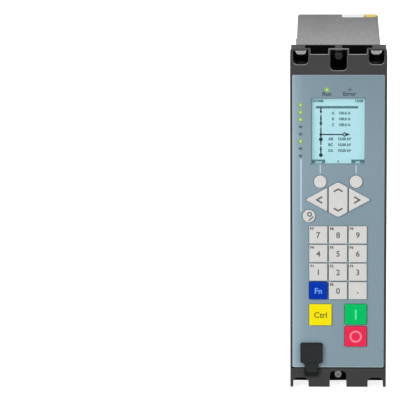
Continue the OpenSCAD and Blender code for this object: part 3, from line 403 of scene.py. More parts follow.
# Painted shade and highlight: RUBBER's darker edge colour shades the cap's outline, ANCHOR's lighter one is a
# highlight on the anchor's bevels.
RUBBER = Finish("rubber_black", (0.024, 0.027, 0.027), 0.7, Grain.RUBBERY, specular=0.08,
                edge=(0.012, 0.014, 0.014))
ANCHOR = Finish("anchor_rubber", (0.010, 0.011, 0.011), 0.6, Grain.RUBBERY, specular=0.08,
                edge=(0.13, 0.13, 0.13), slot="rubber_black")
# Painted shade: the sleeve darkens towards the back, away from the lights, and SHEET's darker edge colour
# paints shade along its bevels.
SHEET_DEPTH_SHADE = Shade(Axis.DEPTH, 0.0, 200.0 * MM, ((0.05, 1.06), (1.0, 0.54)))
SHEET = Finish("housing_steel", (0.355, 0.355, 0.355), 0.65, Grain.ROLLED, metallic=0.05, specular=0.05,
               streak=6.0, edge=(0.12, 0.12, 0.12), shades=(SHEET_DEPTH_SHADE,))
# The same steel without the painted shade, for the rear plate.
PLATE = Finish("plate_steel", (0.36, 0.36, 0.36), 0.6, Grain.ROLLED, metallic=0.05, specular=0.08, streak=6.0,
               slot="housing_steel")
STEEL = Finish("screw_steel", (0.42, 0.42, 0.42), 0.35, Grain.ROLLED, metallic=0.9)
# Painted shadow: the pocket screws darken towards the top, where the pocket roof shades the upper screw.
POCKET_SHADOW = Shade(Axis.HEIGHT, -120.0 * MM, 120.0 * MM, ((0.0, 1.0), (1.0, 0.12)))
SHADED_POCKET_STEEL = Finish("pocket_steel", (0.30, 0.30, 0.31), 0.45, Grain.ROLLED, metallic=0.6,
                      shades=(POCKET_SHADOW,), slot="screw_steel")
TINNED = Finish("socket_metal", (0.55, 0.56, 0.57), 0.3, Grain.ROLLED, metallic=0.9)
GOLD = Finish("contact_gold", (0.8, 0.6, 0.2), 0.25, Grain.POLISHED, metallic=0.95)
BRASS = Finish("earth_brass", (0.7, 0.55, 0.25), 0.3, Grain.ROLLED, metallic=0.9)
BOARD = Finish("board_green", (0.03, 0.16, 0.08), 0.4, Grain.WOVEN, mottle=0.2)
# BLOCK's lighter edge colour is a painted highlight on the terminal blocks' bevels.
BLOCK = Finish("block_black", (0.05, 0.055, 0.06), 0.5, specular=0.2, edge=(0.12, 0.12, 0.13))
FILM = Finish("dome_film", (0.6, 0.55, 0.45), 0.5, Grain.SATIN)
POTTED = Finish("potted_core", (0.2, 0.16, 0.08), 0.5)
RELAY_BLUE = Finish("relay_blue", (0.05, 0.12, 0.32), 0.35)
CORE = Finish("core_dark", (0.06, 0.06, 0.065), 0.6)
LABEL = Finish("label_white", (0.86, 0.86, 0.86), 0.5, Grain.SATIN, mottle=0.02)
STICKER = Finish("sticker_yellow", (0.72, 0.52, 0.03), 0.5, Grain.SATIN)


def body_of(node: str) -> str:
    """Find the body that a CAD node belongs to."""
    return frame["nodes"][node]["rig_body"]


def front_of(node: str) -> Vector:
    """Find the point on a CAD node's foremost plane, in the middle of its box."""
    low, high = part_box(node)
    return Vector(((low.x + high.x) / 2, low.y, (low.z + high.z) / 2))


def paint(node: str, finish: Finish) -> None:
    """Give a CAD node its finish.

    Args:
        node: Name of the CAD node.
        finish: The finish to use.
    """
    slots = frame["nodes"][node].data.materials
    slots.clear()
    slots.append(finish.material())
    LOG.info("painted %s with %s", node, finish.name)


def add_piece(mesh: bpy.types.Mesh, name: str, body: str, finish: Finish) -> bpy.types.Object:
    """Link a mesh as a piece that rides on a body.

    Args:
        mesh: The mesh, in place.
        name: Name of the piece.
        body: The CAD body that it moves with.
        finish: Its finish.

    Returns:
        The new object.
    """
    mesh.name = name
    mesh.materials.clear()
    mesh.materials.append(finish.material())
    piece = bpy.data.objects.new(name, mesh)
    bpy.context.scene.collection.objects.link(piece)
    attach(piece, body)
    LOG.info("piece %s on %s: %d faces", name, body, len(mesh.polygons))
    return piece


def piece_from(shape: bmesh.types.BMesh, name: str, body: str, finish: Finish) -> bpy.types.Object:
    """Turn a bmesh into a piece and free it.

    Args:
        shape: The shape, in place.
        name: Name of the piece.
        body: The CAD body that it moves with.
        finish: Its finish.

    Returns:
        The new object.
    """
    bmesh.ops.recalc_face_normals(shape, faces=shape.faces)
    mesh = bpy.data.meshes.new(name)
    shape.to_mesh(mesh)
    shape.free()
    return add_piece(mesh, name, body, finish)


def evaluated(holder: bpy.types.Object) -> bpy.types.Mesh:
    """Take the mesh that an object comes to, and remove the object.

    Args:
        holder: The object, with its modifiers or its type; it isn't linked yet.

    Returns:
        The new mesh.
    """
    bpy.context.scene.collection.objects.link(holder)
    bpy.context.view_layer.update()
    mesh = bpy.data.meshes.new_from_object(holder.evaluated_get(bpy.context.evaluated_depsgraph_get()))
    bpy.data.objects.remove(holder)
    return mesh


def even_rub(centre: Vector, normal: Vector) -> float:
    """Give the painted highlight or shade most to an edge that faces upwards, then to one that faces the
    operator, and least to others.
    """
    return UPPER_EDGE_LIGHT if normal.z > LEANING else FRONT_EDGE_LIGHT if normal.y < -LEANING else OTHER_EDGE_LIGHT


def open_face(centre: Vector, normal: Vector) -> float:
    """Leave a face in the light."""
    return 0.0


def reach(edge: bmesh.types.BMEdge, other: bmesh.types.BMEdge, corner: bmesh.types.BMVert) -> float:
    """Measure how far an edge leads away from the line of another one that it meets at a corner."""
    way, line = (e.other_vert(corner).co - corner.co for e in (edge, other))
    return way.cross(line).length / max(line.length, TINY)


def merge_flats(shape: bmesh.types.BMesh) -> None:
    """Merge coplanar faces, and where a hole needs a cut keep the one that leads straight away from it.

    Args:
        shape: The shape.
    """
    flat = {e for e in shape.edges if e.is_manifold and e.calc_face_angle(1.0) < FLAT_ANGLE}

    def standing(edge: bmesh.types.BMEdge) -> float:
        """Measure how well an edge stands away from the sharp edges at its ends."""
        ends = ((o, v) for v in edge.verts for o in v.link_edges if o not in flat)
        return min((reach(edge, o, v) for o, v in ends), default=0.0)

    order = sorted(flat, key=lambda e: (standing(e), e.index))
    for edge in order:
        if edge.is_valid and edge.is_manifold:
            bmesh.utils.face_join(edge.link_faces)
    straight = [v for v in shape.verts if len(v.link_edges) == 2 and v.calc_edge_angle(1.0) < FLAT_ANGLE]
    bmesh.ops.dissolve_verts(shape, verts=straight)


def soft_edges(shape: bmesh.types.BMesh, width: float) -> list[bmesh.types.BMEdge]:
    """Choose the sharp edges that have room for a bevel.

    Args:
        shape: The shape.
        width: Width of the bevel.

    Returns:
        The edges, without those that run or end too close to another edge.
    """
    beside, between = BEVEL_ROOM * width, 2 * BEVEL_ROOM * width
    sharp = {e for e in shape.edges if e.is_manifold and e.calc_face_angle(0.0) > SHARP_ANGLE}

    def runs_on(edge: bmesh.types.BMEdge, other: bmesh.types.BMEdge, corner: bmesh.types.BMVert) -> bool:
        """Tell whether a sharp edge runs on into another one at their corner."""
        ahead, behind = other.other_vert(corner).co - corner.co, corner.co - edge.other_vert(corner).co
        return other in sharp and ahead.angle(behind, math.pi) < SMOOTH_ANGLE

    def crowded(edge: bmesh.types.BMEdge, room: float) -> bool:
        """Tell whether an edge runs close beside another edge of one of its faces.

        Args:
            edge: The edge.
            room: How far it has to stay away from the other edge.

        Returns:
            True where the other edge is nearer.
        """
        middle = (edge.verts[0].co + edge.verts[1].co) / 2
        rest = (o for face in edge.link_faces for o in face.edges if not set(o.verts) & set(edge.verts))
        feet = (intersect_point_line(middle, *(v.co for v in o.verts)) for o in rest)
        return any(0.0 < share < 1.0 and (spot - middle).length < room for spot, share in feet)

    sharp -= {e for e in sharp if crowded(e, beside if e.is_convex else between)}
    while True:
        tight = {e for e in sharp for v in e.verts for o in v.link_edges
                 if o is not e and reach(o, e, v) < between and not runs_on(e, o, v)}
        if not tight:
            return list(sharp)
        sharp -= tight


def even_normals(mesh: bpy.types.Mesh) -> bpy.types.Mesh:
    """Shade a mesh smoothly while its large flat faces stay flat.

    Args:
        mesh: The mesh, which is removed.

    Returns:
        A copy whose normals follow the larger faces.
    """
    for face in mesh.polygons:
        face.use_smooth = True
    mesh.set_sharp_from_angle(angle=SMOOTH_ANGLE)
    holder = bpy.data.objects.new("even_normals", mesh)
    lean = holder.modifiers.new("lean", "WEIGHTED_NORMAL")
    lean.weight = 100
    lean.keep_sharp = True
    even = evaluated(holder)
    bpy.data.meshes.remove(mesh)
    return even


def skin(node: str, finish: Finish, width: float, edge_light: Mark = even_rub,
         sink: Mark = open_face) -> bpy.types.Object:
    """Stand a copy with softened edges in for a CAD node.

    Args:
        node: Name of the CAD node.
        finish: Its finish.
        width: Width of the softened edge, in metres.
        edge_light: How far an edge takes its painted highlight or painted shade, from its middle and its
            normal.
        sink: How far a face lies in a recess, which sets its painted shade, from its middle and its normal.

    Returns:
        The new piece.
    """
    shape = bmesh.new()
    shape.from_mesh(frame["nodes"][node].data)
    edge, deep = (shape.faces.layers.float.new(name) for name in ("edge", "deep"))
    bmesh.ops.remove_doubles(shape, verts=shape.verts, dist=WELD)
    merge_flats(shape)
    soft = bmesh.ops.bevel(shape, geom=soft_edges(shape, width), offset=width, offset_type="OFFSET",
                           affect="EDGES", segments=2, profile=0.5, clamp_overlap=False, material=-1)
    # Mark the recesses for painted shade and the bevel faces for painted highlights.
    for face in shape.faces:
        face[deep] = sink(face.calc_center_median(), face.normal)
    for face in soft["faces"]:
        face[edge] = edge_light(face.calc_center_median(), face.normal)
    mesh = bpy.data.meshes.new(f"{node}_rough")
    shape.to_mesh(mesh)
    shape.free()
    piece = add_piece(even_normals(mesh), f"{node}_skin", body_of(node), finish)
    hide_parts(node)
    return piece


class Stencil:
    """Flat printed shapes on a plane of the relay, collected into one mesh."""

    mitre: ClassVar[float] = 0.3
    disc_sides: ClassVar[int] = 24

    def __init__(self, depth: float, facing: Facing = Facing.FRONT, thickness: float = 0.03 * MM) -> None:
        """Start an empty stencil.

        Args:
            depth: Y of the plane that is printed on.
            facing: The side that the print is read from.
            thickness: Thickness of the ink.
        """
        self.depth = depth
        self.lift = Vector((0.0, facing.value * thickness, 0.0))
        self.shape = bmesh.new()

    def _raise(self, faces: Sequence[bmesh.types.BMFace]) -> None:
        """Give flat faces the thickness of the ink.

        Args:
            faces: The faces, on the plane.
        """
        grown = bmesh.ops.extrude_face_region(self.shape, geom=list(faces))["geom"]
        moved = [v for v in grown if isinstance(v, bmesh.types.BMVert)]
        bmesh.ops.translate(self.shape, verts=moved, vec=self.lift)

    def _place(self, x: float, z: float) -> Matrix:
        """Find the matrix that stands a flat shape up at a point of the plane."""
        return Matrix.Translation((x, self.depth, z)) @ UPRIGHT

    def polygon(self, points: Sequence[Point]) -> None:
        """Print a filled polygon with the given corners, as X and Z, in order."""
        self._raise([self.shape.faces.new([self.shape.verts.new((x, self.depth, z)) for x, z in points])])

    def bar(self, x: float, z: float, w: float, h: float) -> None:
        """Print a rectangle.

        Args:
            x: X of its middle.
            z: Z of its middle.
            w: Width.
            h: Height.
        """
        place = self._place(x, z) @ Matrix.Diagonal((w, h, 1.0, 1.0))
        made = bmesh.ops.create_grid(self.shape, x_segments=1, y_segments=1, size=0.5, matrix=place)
        self._raise([made["verts"][0].link_faces[0]])

    def disc(self, x: float, z: float, r: float) -> None:
        """Print a disc.

        Args:
            x: X of its middle.
            z: Z of its middle.
            r: Radius.
        """
        place = self._place(x, z)
        made = bmesh.ops.create_circle(self.shape, cap_ends=True, segments=self.disc_sides, radius=r,
                                       matrix=place)
        self._raise([made["verts"][0].link_faces[0]])

    def ring(self, x: float, z: float, r: float, width: float, sides: int = 40) -> None:
        """Print a ring, or a diamond's outline where it has 4 sides.

        Args:
            x: X of its middle.
            z: Z of its middle.
            r: Radius of its middle line.
            width: Width of its line.
            sides: Corners of the outline.
        """
        edges: set[bmesh.types.BMEdge] = set()
        place = self._place(x, z)
        for radius in (r - width / 2, r + width / 2):
            made = bmesh.ops.create_circle(self.shape, segments=sides, radius=radius, matrix=place)
            edges.update(e for v in made["verts"] for e in v.link_edges)
        self._raise(bmesh.ops.bridge_loops(self.shape, edges=list(edges))["faces"])

    def stroke(self, points: Sequence[Point], width: float) -> None:
        """Print a line of straight strokes with mitred joints.

        Args:
            points: The line's points as X and Z.
            width: Width of the line.
        """
        sides: list[tuple[Point, Point]] = []
        ways = [(Vector(b) - Vector(a)).normalized() for a, b in zip(points, points[1:])]
        for spot, came, goes in zip(points, (ways[0], *ways), (*ways, ways[-1])):
            side = Vector((-came.y - goes.y, came.x + goes.x)).normalized()
            half = width / 2 / max(self.mitre, side.dot(Vector((-came.y, came.x))))
            sides.append((tuple(Vector(spot) - side * half), tuple(Vector(spot) + side * half)))
        for (a, b), (c, d) in zip(sides, sides[1:]):
            self.polygon([a, c, d, b])

    def piece(self, name: str, body: str, finish: Finish) -> bpy.types.Object:
        """Turn what was printed into a piece that moves with a CAD body."""
        bmesh.ops.remove_doubles(self.shape, verts=self.shape.verts, dist=INK_WELD)
        return piece_from(self.shape, name, body, finish)


@dataclass(frozen=True)
class Print:
    """Generic characters printed on a surface.

    Attributes:
        words: The characters.
        at: Middle of the print, on the surface.
        size: Height of a line of type.
        ink: The ink.
        bold: How far the strokes are thickened.
        leading: Distance between lines, as a share of the size.
        facing: The side that the print is read from.
        lift: Half the thickness of the ink.
    """

    words: str
    at: Vector
    size: float
    ink: Finish
    bold: float = 0.0
    leading: float = 1.0
    facing: Facing = Facing.FRONT
    lift: float = 0.02 * MM

    def piece(self, name: str, body: str) -> bpy.types.Object:
        """Turn the print into a piece.

        Args:
            name: Name of the piece.
            body: The CAD body that it moves with.

        Returns:
            The new object.
        """
        curve = bpy.data.curves.new(name, "FONT")
        curve.body = self.words
        curve.size = self.size
        curve.align_x = "CENTER"
        curve.space_line = self.leading
        curve.offset = self.bold
        curve.extrude = self.lift
        curve.resolution_u = 3
        mesh = evaluated(bpy.data.objects.new(f"{name}_type", curve))
        bpy.data.curves.remove(curve)
        xs = [v.co.x for v in mesh.vertices]
        ys = [v.co.y for v in mesh.vertices]
        middle = Vector(((min(xs) + max(xs)) / 2, (min(ys) + max(ys)) / 2, 0.0))
        turn = UPRIGHT if self.facing is Facing.FRONT else ABOUT_FACE @ UPRIGHT
        spot = self.at + Vector((0.0, self.facing.value * self.lift, 0.0))
        mesh.transform(Matrix.Translation(spot) @ turn @ Matrix.Translation(-middle))
        return add_piece(mesh, name, body, self.ink)


class Assembly(Protocol):
    """A sub-assembly of the relay."""

    def build(self) -> None:
        """Make its pieces."""

    def dress(self) -> None:
        """Give its CAD nodes their finishes."""


@dataclass
class FrontFrame:
    """The black moulding and the screws in its middle pockets."""

    edge: float = 0.28 * MM
    lit_depth: float = 1.2 * MM
    strip: float = 20.5 * MM
    ear_rise: float = 4.4 * MM
    outside: float = 1.0 * MM
    upward: float = 0.25
    # Shares of painted highlight on the moulding's edges.
    face_rub: float = 0.08
    upper_rub: float = 0.75
    ear_rub: float = 0.5
    pocket_rub: float = 0.18
    low: Vector = field(init=False)
    high: Vector = field(init=False)

    def build(self) -> None:
        """Soften the moulding's edges."""
        self.low, self.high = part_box("front_frame")
        # The skin also paints highlights on the bevels and shade inside the pockets.
        skin("front_frame", FRAME_BLACK, self.edge, self._rub, self._sink)

    def dress(self) -> None:
        """Paint the screws."""
        # The pocket screws take painted shadow, darker at the top.
        paint("frame_screws", SHADED_POCKET_STEEL)

    def _rub(self, centre: Vector, normal: Vector) -> float:
        """Give the painted highlight most to the edges round the ears and the upper pockets.

        Args:
            centre: Middle of the edge's face.
            normal: Its normal.

        Returns:
            How much painted highlight it takes.
        """
        if centre.y > self.low.y + self.lit_depth:
            return 0.0
        if centre.z < self.high.z - self.strip:
            return self.face_rub
        if normal.z > self.upward:
            return self.upper_rub
        return self.ear_rub if centre.z > self.high.z - self.ear_rise else self.pocket_rub

    def _sink(self, centre: Vector, normal: Vector) -> float:
        """Find the faces inside the pockets and behind the face, which take painted shade.

        Args:
            centre: Middle of the face.
            normal: Its normal.

        Returns:
            1 in a recess, where shade is painted, and 0 on the outside.
        """
        front = centre.y < self.low.y + self.lit_depth
        back = centre.y > self.high.y - self.lit_depth
        side = abs(normal.x) > MOSTLY and abs(centre.x) > self.high.x - self.outside
        roof = normal.z > MOSTLY and centre.z > self.high.z - self.outside
        foot = normal.z < -MOSTLY and centre.z < self.low.z + self.outside
        return 0.0 if front or back or side or roof or foot else 1.0


@dataclass
class OperatorPanel:
    """The blue-grey panel with its lamps and printed guide lines."""

    edge: float = 0.2 * MM
    lamp_line: float = 1.5 * MM
    lamp_line_shift: float = 0.4 * MM
    lamp_line_gaps: Pair = (2.5 * MM, 3.6 * MM)
    key_line: float = 0.9 * MM
    key_line_gap: float = 0.8 * MM
    lamp_d: float = 1.5 * MM
    halo: float = 2.3 * MM
    core: float = 0.75 * MM
    slit: Pair = (1.8 * MM, 1.1 * MM)
    word: float = 4.5 * MM
    word_drop: float = 3.3 * MM
    bold: float = 0.15 * MM
    rim: float = 0.8 * MM
    # Shares of painted highlight on the panel's edges.
    lower_rub: float = 1.0
    left_rub: float = 0.5
    other_rub: float = 0.2
    rib_depth: Pair = (0.4 * MM, 1.6 * MM)
    lit: tuple[str, ...] = ("run_lamp", "status_lamp_1", "status_lamp_2", "status_lamp_3", "status_lamp_6")
    dark: tuple[str, ...] = ("error_lamp", "status_lamp_4", "status_lamp_5", "status_lamp_7", "status_lamp_8")
    low: Vector = field(init=False)
    high: Vector = field(init=False)

    def build(self) -> None:
        """Soften the panel's edges and print its lines, lamp names and lamp marks."""
        self.low, self.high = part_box("front_panel")
        # The skin also paints highlights on the panel's edges and light onto the ribs between the keys.
        skin("front_panel", PANEL_BLUE, self.edge, self._rub, self._sink)
        depth = self.low.y
        last, reset = front_of("status_lamp_8"), front_of("lamp_reset_key")
        lines = Stencil(depth)
        top, bottom = last.z - self.lamp_line_gaps[0], reset.z + self.lamp_line_gaps[1]
        lines.bar(last.x + self.lamp_line_shift, (top + bottom) / 2, self.lamp_line, top - bottom)
        lines.piece("lamp_line", ROOT, INK_PALE)
        ties = Stencil(depth)
        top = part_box("display_window")[0].z
        for side in ("left", "right"):
            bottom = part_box(f"soft_key_{side}")[1].z + self.key_line_gap
            ties.bar(front_of(f"soft_key_{side}").x, (top + bottom) / 2, self.key_line, top - bottom)
        ties.piece("soft_key_lines", ROOT, INK_PALE)
        for node, words in (("run_lamp", "Run"), ("error_lamp", "Error")):
            spot = front_of(node)
            at = Vector((spot.x, depth, spot.z - self.word_drop))
            Print(words, at, self.word, INK_SLATE, self.bold).piece(f"{node}_name", ROOT)
        self._lamp_marks(depth)

    def dress(self) -> None:
        """Light the lamps that are on and paint the others."""
        for node in self.lit:
            paint(node, LAMP_LIT)
        for node in self.dark:
            paint(node, LAMP_DARK)

    def _rub(self, centre: Vector, normal: Vector) -> float:
        """Give the painted highlight to the panel's outer edges, the lower one most.

        Args:
            centre: Middle of the edge's face.
            normal: Its normal; not used.

        Returns:
            How much painted highlight it takes.
        """
        if centre.z < self.low.z + self.rim:
            return self.lower_rub
        return self.left_rub if centre.x < self.low.x + self.rim else self.other_rub

    def _sink(self, centre: Vector, normal: Vector) -> float:
        """Find the ribs between the keys, which the pale keys light up.

        Args:
            centre: Middle of the face.
            normal: Its normal.

        Returns:
            1 on a rib, and 0 elsewhere.
        """
        below = centre.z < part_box("soft_key_left")[0].z
        near, far = self.rib_depth
        return 1.0 if below and normal.y < -MOSTLY and near < centre.y - self.low.y < far else 0.0

    def _lamp_marks(self, depth: float) -> None:
        """Ring the lit lamps with their light and mark the dark ones.

        Args:
            depth: Y of the panel's front.
        """
        spots = [front_of(node) for node in self.lit]
        halos, cores = Stencil(depth), Stencil(spots[0].y)
        for spot in spots:
            halos.ring(spot.x, spot.z, (self.halo + self.lamp_d) / 2, self.halo - self.lamp_d, SMALL_RING)
            cores.disc(spot.x, spot.z, self.core)
        halos.piece("lamp_halos", ROOT, LAMP_HALO)
        cores.piece("lamp_cores", ROOT, LAMP_CORE)
        marks = Stencil(front_of(self.dark[0]).y)
        for node in self.dark:
            spot = front_of(node)
            marks.bar(spot.x, spot.z, *self.slit)
        marks.piece("lamp_slits", ROOT, INK_SLATE)


@dataclass
class Display:
    """The window, the backlit glass and the feeder diagram on it.

    Places on the glass are shares of its width, from the left, and of its height, from the top.
    A spot of the feeder has its place down the glass and its radius in millimetres.
    """

    glass_sink: float = 0.5 * MM
    rim: float = 0.8 * MM
    type_size: float = 2.9 * MM
    bold: float = 0.16 * MM
    ink: float = 0.03 * MM
    labels: tuple[str, ...] = ("A", "B", "C", "AB", "BC", "CA")
    values: tuple[str, ...] = ("100.0 A", "100.0 A", "100.0 A", "10.00 kV", "10.00 kV", "10.00 kV")
    rows: tuple[float, ...] = (0.228, 0.318, 0.408, 0.626, 0.716, 0.806)
    label_u: Pair = (0.40, 0.355)
    value_u: float = 0.625
    title: Point = (0.115, 0.04)
    clock: Point = (0.90, 0.04)
    bus: Point = (0.475, 0.138)
    bus_w: float = 0.81
    bus_line: float = 1.9 * MM
    box_u: Pair = (0.125, 0.875)
    box_v: float = 0.977
    box_word_v: float = 0.982
    box_size: Pair = (0.25, 0.062)
    box_scale: float = 0.75
    tick: Point = (0.5, 0.975)
    tick_size: Pair = (1.0 * MM, 1.6 * MM)
    feeder_u: float = 0.168
    feeder_line: float = 1.0125 * MM
    feeder_runs: tuple[Pair, ...] = ((0.138, 0.234), (0.256, 0.430), (0.446, 0.719), (0.741, 0.878))
    feeder_spots: tuple[Pair, ...] = (
        (0.203, 0.85), (0.313, 0.8), (0.386, 1.1), (0.558, 1.1), (0.633, 1.5), (0.785, 0.9), (0.878, 1.5))
    branch: Point = (0.38, 0.558)
    branch_w: float = 0.42
    branch_line: float = 0.972 * MM
    diamond: Point = (0.62, 0.558)
    diamond_r: float = 1.4 * MM
    diamond_line: float = 1.2 * MM
    arrow_u: Pair = (0.655, 0.73)
    arrow_half: float = 1.1 * MM
    depth: float = field(init=False)
    left: float = field(init=False)
    top: float = field(init=False)
    wide: float = field(init=False)
    tall: float = field(init=False)

    def build(self) -> None:
        """Draw the feeder diagram and its readings on the glass."""
        low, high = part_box("display_window")
        self.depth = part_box("display_module")[0].y + self.glass_sink
        self.left, self.top = low.x + self.rim, high.z - self.rim
        self.wide, self.tall = high.x - low.x - 2 * self.rim, high.z - low.z - 2 * self.rim
        self._bars()
        self._feeder()
        for i, row in enumerate(self.rows):
            self._words(f"display_label_{i + 1}", self.labels[i], self.label_u[i // 3], row)
            self._words(f"display_value_{i + 1}", self.values[i], self.value_u, row)
        self._words("display_title", "HOME", *self.title)
        self._words("display_clock", "12:00", *self.clock)
        for side, words, u in zip(("left", "right"), ("Menu", "Info"), self.box_u):
            self._words(f"display_{side}_box_word", words, u, self.box_word_v, LCD_PALE, self.box_scale)

    def dress(self) -> None:
        """Paint the window and the glass."""
        paint("display_window", WINDOW)
        paint("display_module", LCD)

    def _at(self, u: float, v: float) -> Point:
        """Find X and Z of a place on the glass."""
        return self.left + u * self.wide, self.top - v * self.tall

    def _words(self, name: str, words: str, u: float, v: float, ink: Finish = LCD_TEAL,
               scale: float = 1.0) -> None:
        """Write on the glass, or in a pale ink over a box on it.

        Args:
            name: Name of the piece.
            words: The characters.
            u: Share of the width, from the left.
            v: Share of the height, from the top.
            ink: The ink.
            scale: Size of the characters beside the usual one.
        """
        x, z = self._at(u, v)
        depth = self.depth - (self.ink if ink is LCD_PALE else 0.0)
        Print(words, Vector((x, depth, z)), scale * self.type_size, ink, self.bold).piece(name, ROOT)

    def _bars(self) -> None:
        """Draw the busbar and the boxes over the soft keys."""
        bars = Stencil(self.depth)
        bars.bar(*self._at(*self.bus), self.bus_w * self.wide, self.bus_line)
        wide, tall = self.box_size
        for u in self.box_u:
            bars.bar(*self._at(u, self.box_v), wide * self.wide, tall * self.tall)
        bars.bar(*self._at(*self.tick), *self.tick_size)
        bars.piece("display_bars", ROOT, LCD_TEAL)

    def _feeder(self) -> None:
        """Draw the feeder with its switches and the outgoing arrow."""
        feeder = Stencil(self.depth)
        for start, end in self.feeder_runs:
            middle = self._at(self.feeder_u, (start + end) / 2)
            feeder.bar(*middle, self.feeder_line, (end - start) * self.tall)
        for v, r in self.feeder_spots:
            feeder.disc(*self._at(self.feeder_u, v), r * MM)
        feeder.bar(*self._at(*self.branch), self.branch_w * self.wide, self.branch_line)
        feeder.ring(*self._at(*self.diamond), self.diamond_r, self.diamond_line, 4)
        (back, z), tip = (self._at(u, self.diamond[1]) for u in self.arrow_u)
        feeder.polygon([(back, z - self.arrow_half), tip, (back, z + self.arrow_half)])
        feeder.piece("display_feeder", ROOT, LCD_INK)


@dataclass
class Keypad:
    """Every key with its legend."""

    edge: float = 0.2 * MM
    digit: float = 6.4 * MM
    digit_bold: float = 0.12 * MM
    corner: float = 3.0 * MM
    corner_bold: float = 0.09 * MM
    corner_in: Pair = (2.7 * MM, 2.3 * MM)
    command_line: float = 1.35 * MM
    bar_h: float = 7.9 * MM
    ring_r: float = 4.1 * MM
    stroke: float = 1.25 * MM
    rocker_tip: float = 8.6 * MM
    rocker_chevron: Pair = (3.4 * MM, 2.0 * MM)
    arrow_tip: float = 16.6 * MM
    arrow_chevron: Pair = (4.2 * MM, 2.5 * MM)
    point_drop: float = 1.6 * MM
    point_r: float = 0.6 * MM
    reset_line: float = 0.95 * MM
    reset_ring: Point = (0.4 * MM, 1.6 * MM)
    reset_ring_r: float = 1.5 * MM
    reset_slash: tuple[Point, Point] = ((-0.4 * MM, -3.6 * MM), (3.4 * MM, -0.2 * MM))
    light: tuple[str, ...] = (
        "key_point", "soft_key_left", "soft_key_right", "arrow_key_left", "arrow_key_right", "up_down_rocker",
        "lamp_reset_key", *(f"key_{i}" for i in range(10)))
    coloured: dict[str, Finish] = field(default_factory=lambda: {
        "key_fn": KEY_BLUE, "key_ctrl": KEY_YELLOW, "key_close": KEY_GREEN, "key_open": KEY_RED})

    def build(self) -> None:
        """Soften the keys and print their legends."""
        for node in self.light:
            skin(node, KEY_LIGHT, self.edge)
        for node, finish in self.coloured.items():
            skin(node, finish, self.edge)
        for digit in range(10):
            self._legend(f"key_{digit}", str(digit), INK_GREY)
            self._corner(f"key_{digit}", f"F{digit}")
        self._legend("key_fn", "Fn", INK_SKY)
        self._legend("key_ctrl", "Ctrl", INK_OLIVE)
        self._commands()
        self._arrows()
        self._marks()

    def dress(self) -> None:
        """Report the keys: their skins carry the finishes."""
        LOG.info("%d keys dressed", len(self.light) + len(self.coloured))

    def _legend(self, node: str, words: str, ink: Finish) -> None:
        """Print a legend in the middle of a key."""
        Print(words, front_of(node), self.digit, ink, self.digit_bold).piece(f"{node}_legend", body_of(node))

    def _corner(self, node: str, words: str) -> None:
        """Print a small second legend in a key's upper left corner.

        Args:
            node: The key.
            words: The legend.
        """
        low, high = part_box(node)
        at = Vector((low.x + self.corner_in[0], low.y, high.z - self.corner_in[1]))
        Print(words, at, self.corner, INK_DARK, self.corner_bold).piece(f"{node}_corner", body_of(node))

    def _commands(self) -> None:
        """Print the bar on the close key and the ring on the open key."""
        spot = front_of("key_close")
        bar = Stencil(spot.y)
        bar.bar(spot.x, spot.z, self.command_line, self.bar_h)
        bar.piece("key_close_bar", body_of("key_close"), INK_MINT)
        spot = front_of("key_open")
        ring = Stencil(spot.y)
        ring.ring(spot.x, spot.z, self.ring_r, self.command_line)
        ring.piece("key_open_ring", body_of("key_open"), INK_ROSE)

    def _arrows(self) -> None:
        """Print the chevrons on the arrow keys and on the rocker."""
        rocker = front_of("up_down_rocker")
        marks = Stencil(rocker.y)
        half, rise = self.rocker_chevron
        for up in (-1.0, 1.0):
            x, z = rocker.x, rocker.z + up * self.rocker_tip
            foot = z - up * rise
            marks.stroke([(x - half, foot), (x, z), (x + half, foot)], self.stroke)
        marks.piece("rocker_chevrons", body_of("up_down_rocker"), INK_GREY)
        run, half = self.arrow_chevron
        for side, name in ((-1.0, "left"), (1.0, "right")):
            node = f"arrow_key_{name}"
            mark = Stencil(front_of(node).y)
            x, z = rocker.x + side * self.arrow_tip, rocker.z
            back = x - side * run
            mark.stroke([(back, z + half), (x, z), (back, z - half)], self.stroke)
            mark.piece(f"{node}_chevron", body_of(node), INK_GREY)

    def _marks(self) -> None:
        """Print the point, and a lamp struck through on the lamp-reset key."""
        spot = front_of("key_point")
        point = Stencil(spot.y)
        point.disc(spot.x, spot.z - self.point_drop, self.point_r)
        point.piece("key_point_legend", body_of("key_point"), INK_GREY)
        spot = front_of("lamp_reset_key")
        mark = Stencil(spot.y)
        x, z = self.reset_ring
        mark.ring(spot.x + x, spot.z + z, self.reset_ring_r, self.reset_line, SMALL_RING)
        mark.stroke([(spot.x + x, spot.z + z) for x, z in self.reset_slash], self.reset_line)
        mark.piece("lamp_reset_mark", body_of("lamp_reset_key"), INK_GREY)


@dataclass
class ServicePort:
    """The service socket, its rubber cap and the cap's anchor."""

    edge: float = 0.3 * MM
    tongue_sink: float = 0.7 * MM
    tip_out: Pair = (1.6 * MM, 1.45 * MM)
    tip_size: Pair = (0.9 * MM, 0.5 * MM)

    def build(self) -> None:
        """Soften the rubber parts and set the contacts' tips in the socket's tongue."""
        skin("service_cap", RUBBER, self.edge)
        skin("cap_anchor", ANCHOR, self.edge / 2)
        low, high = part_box("service_socket")
        tips = Stencil(low.y + self.tongue_sink)
        x, z = (low.x + high.x) / 2, (low.z + high.z) / 2
        for side in (-1.0, 1.0):
            for up in (-1.0, 1.0):
                tips.bar(x + side * self.tip_out[0], z + up * self.tip_out[1], *self.tip_size)
        tips.piece("service_contacts", ROOT, GOLD)

    def dress(self) -> None:
        """Paint the socket."""
        paint("service_socket", TINNED)


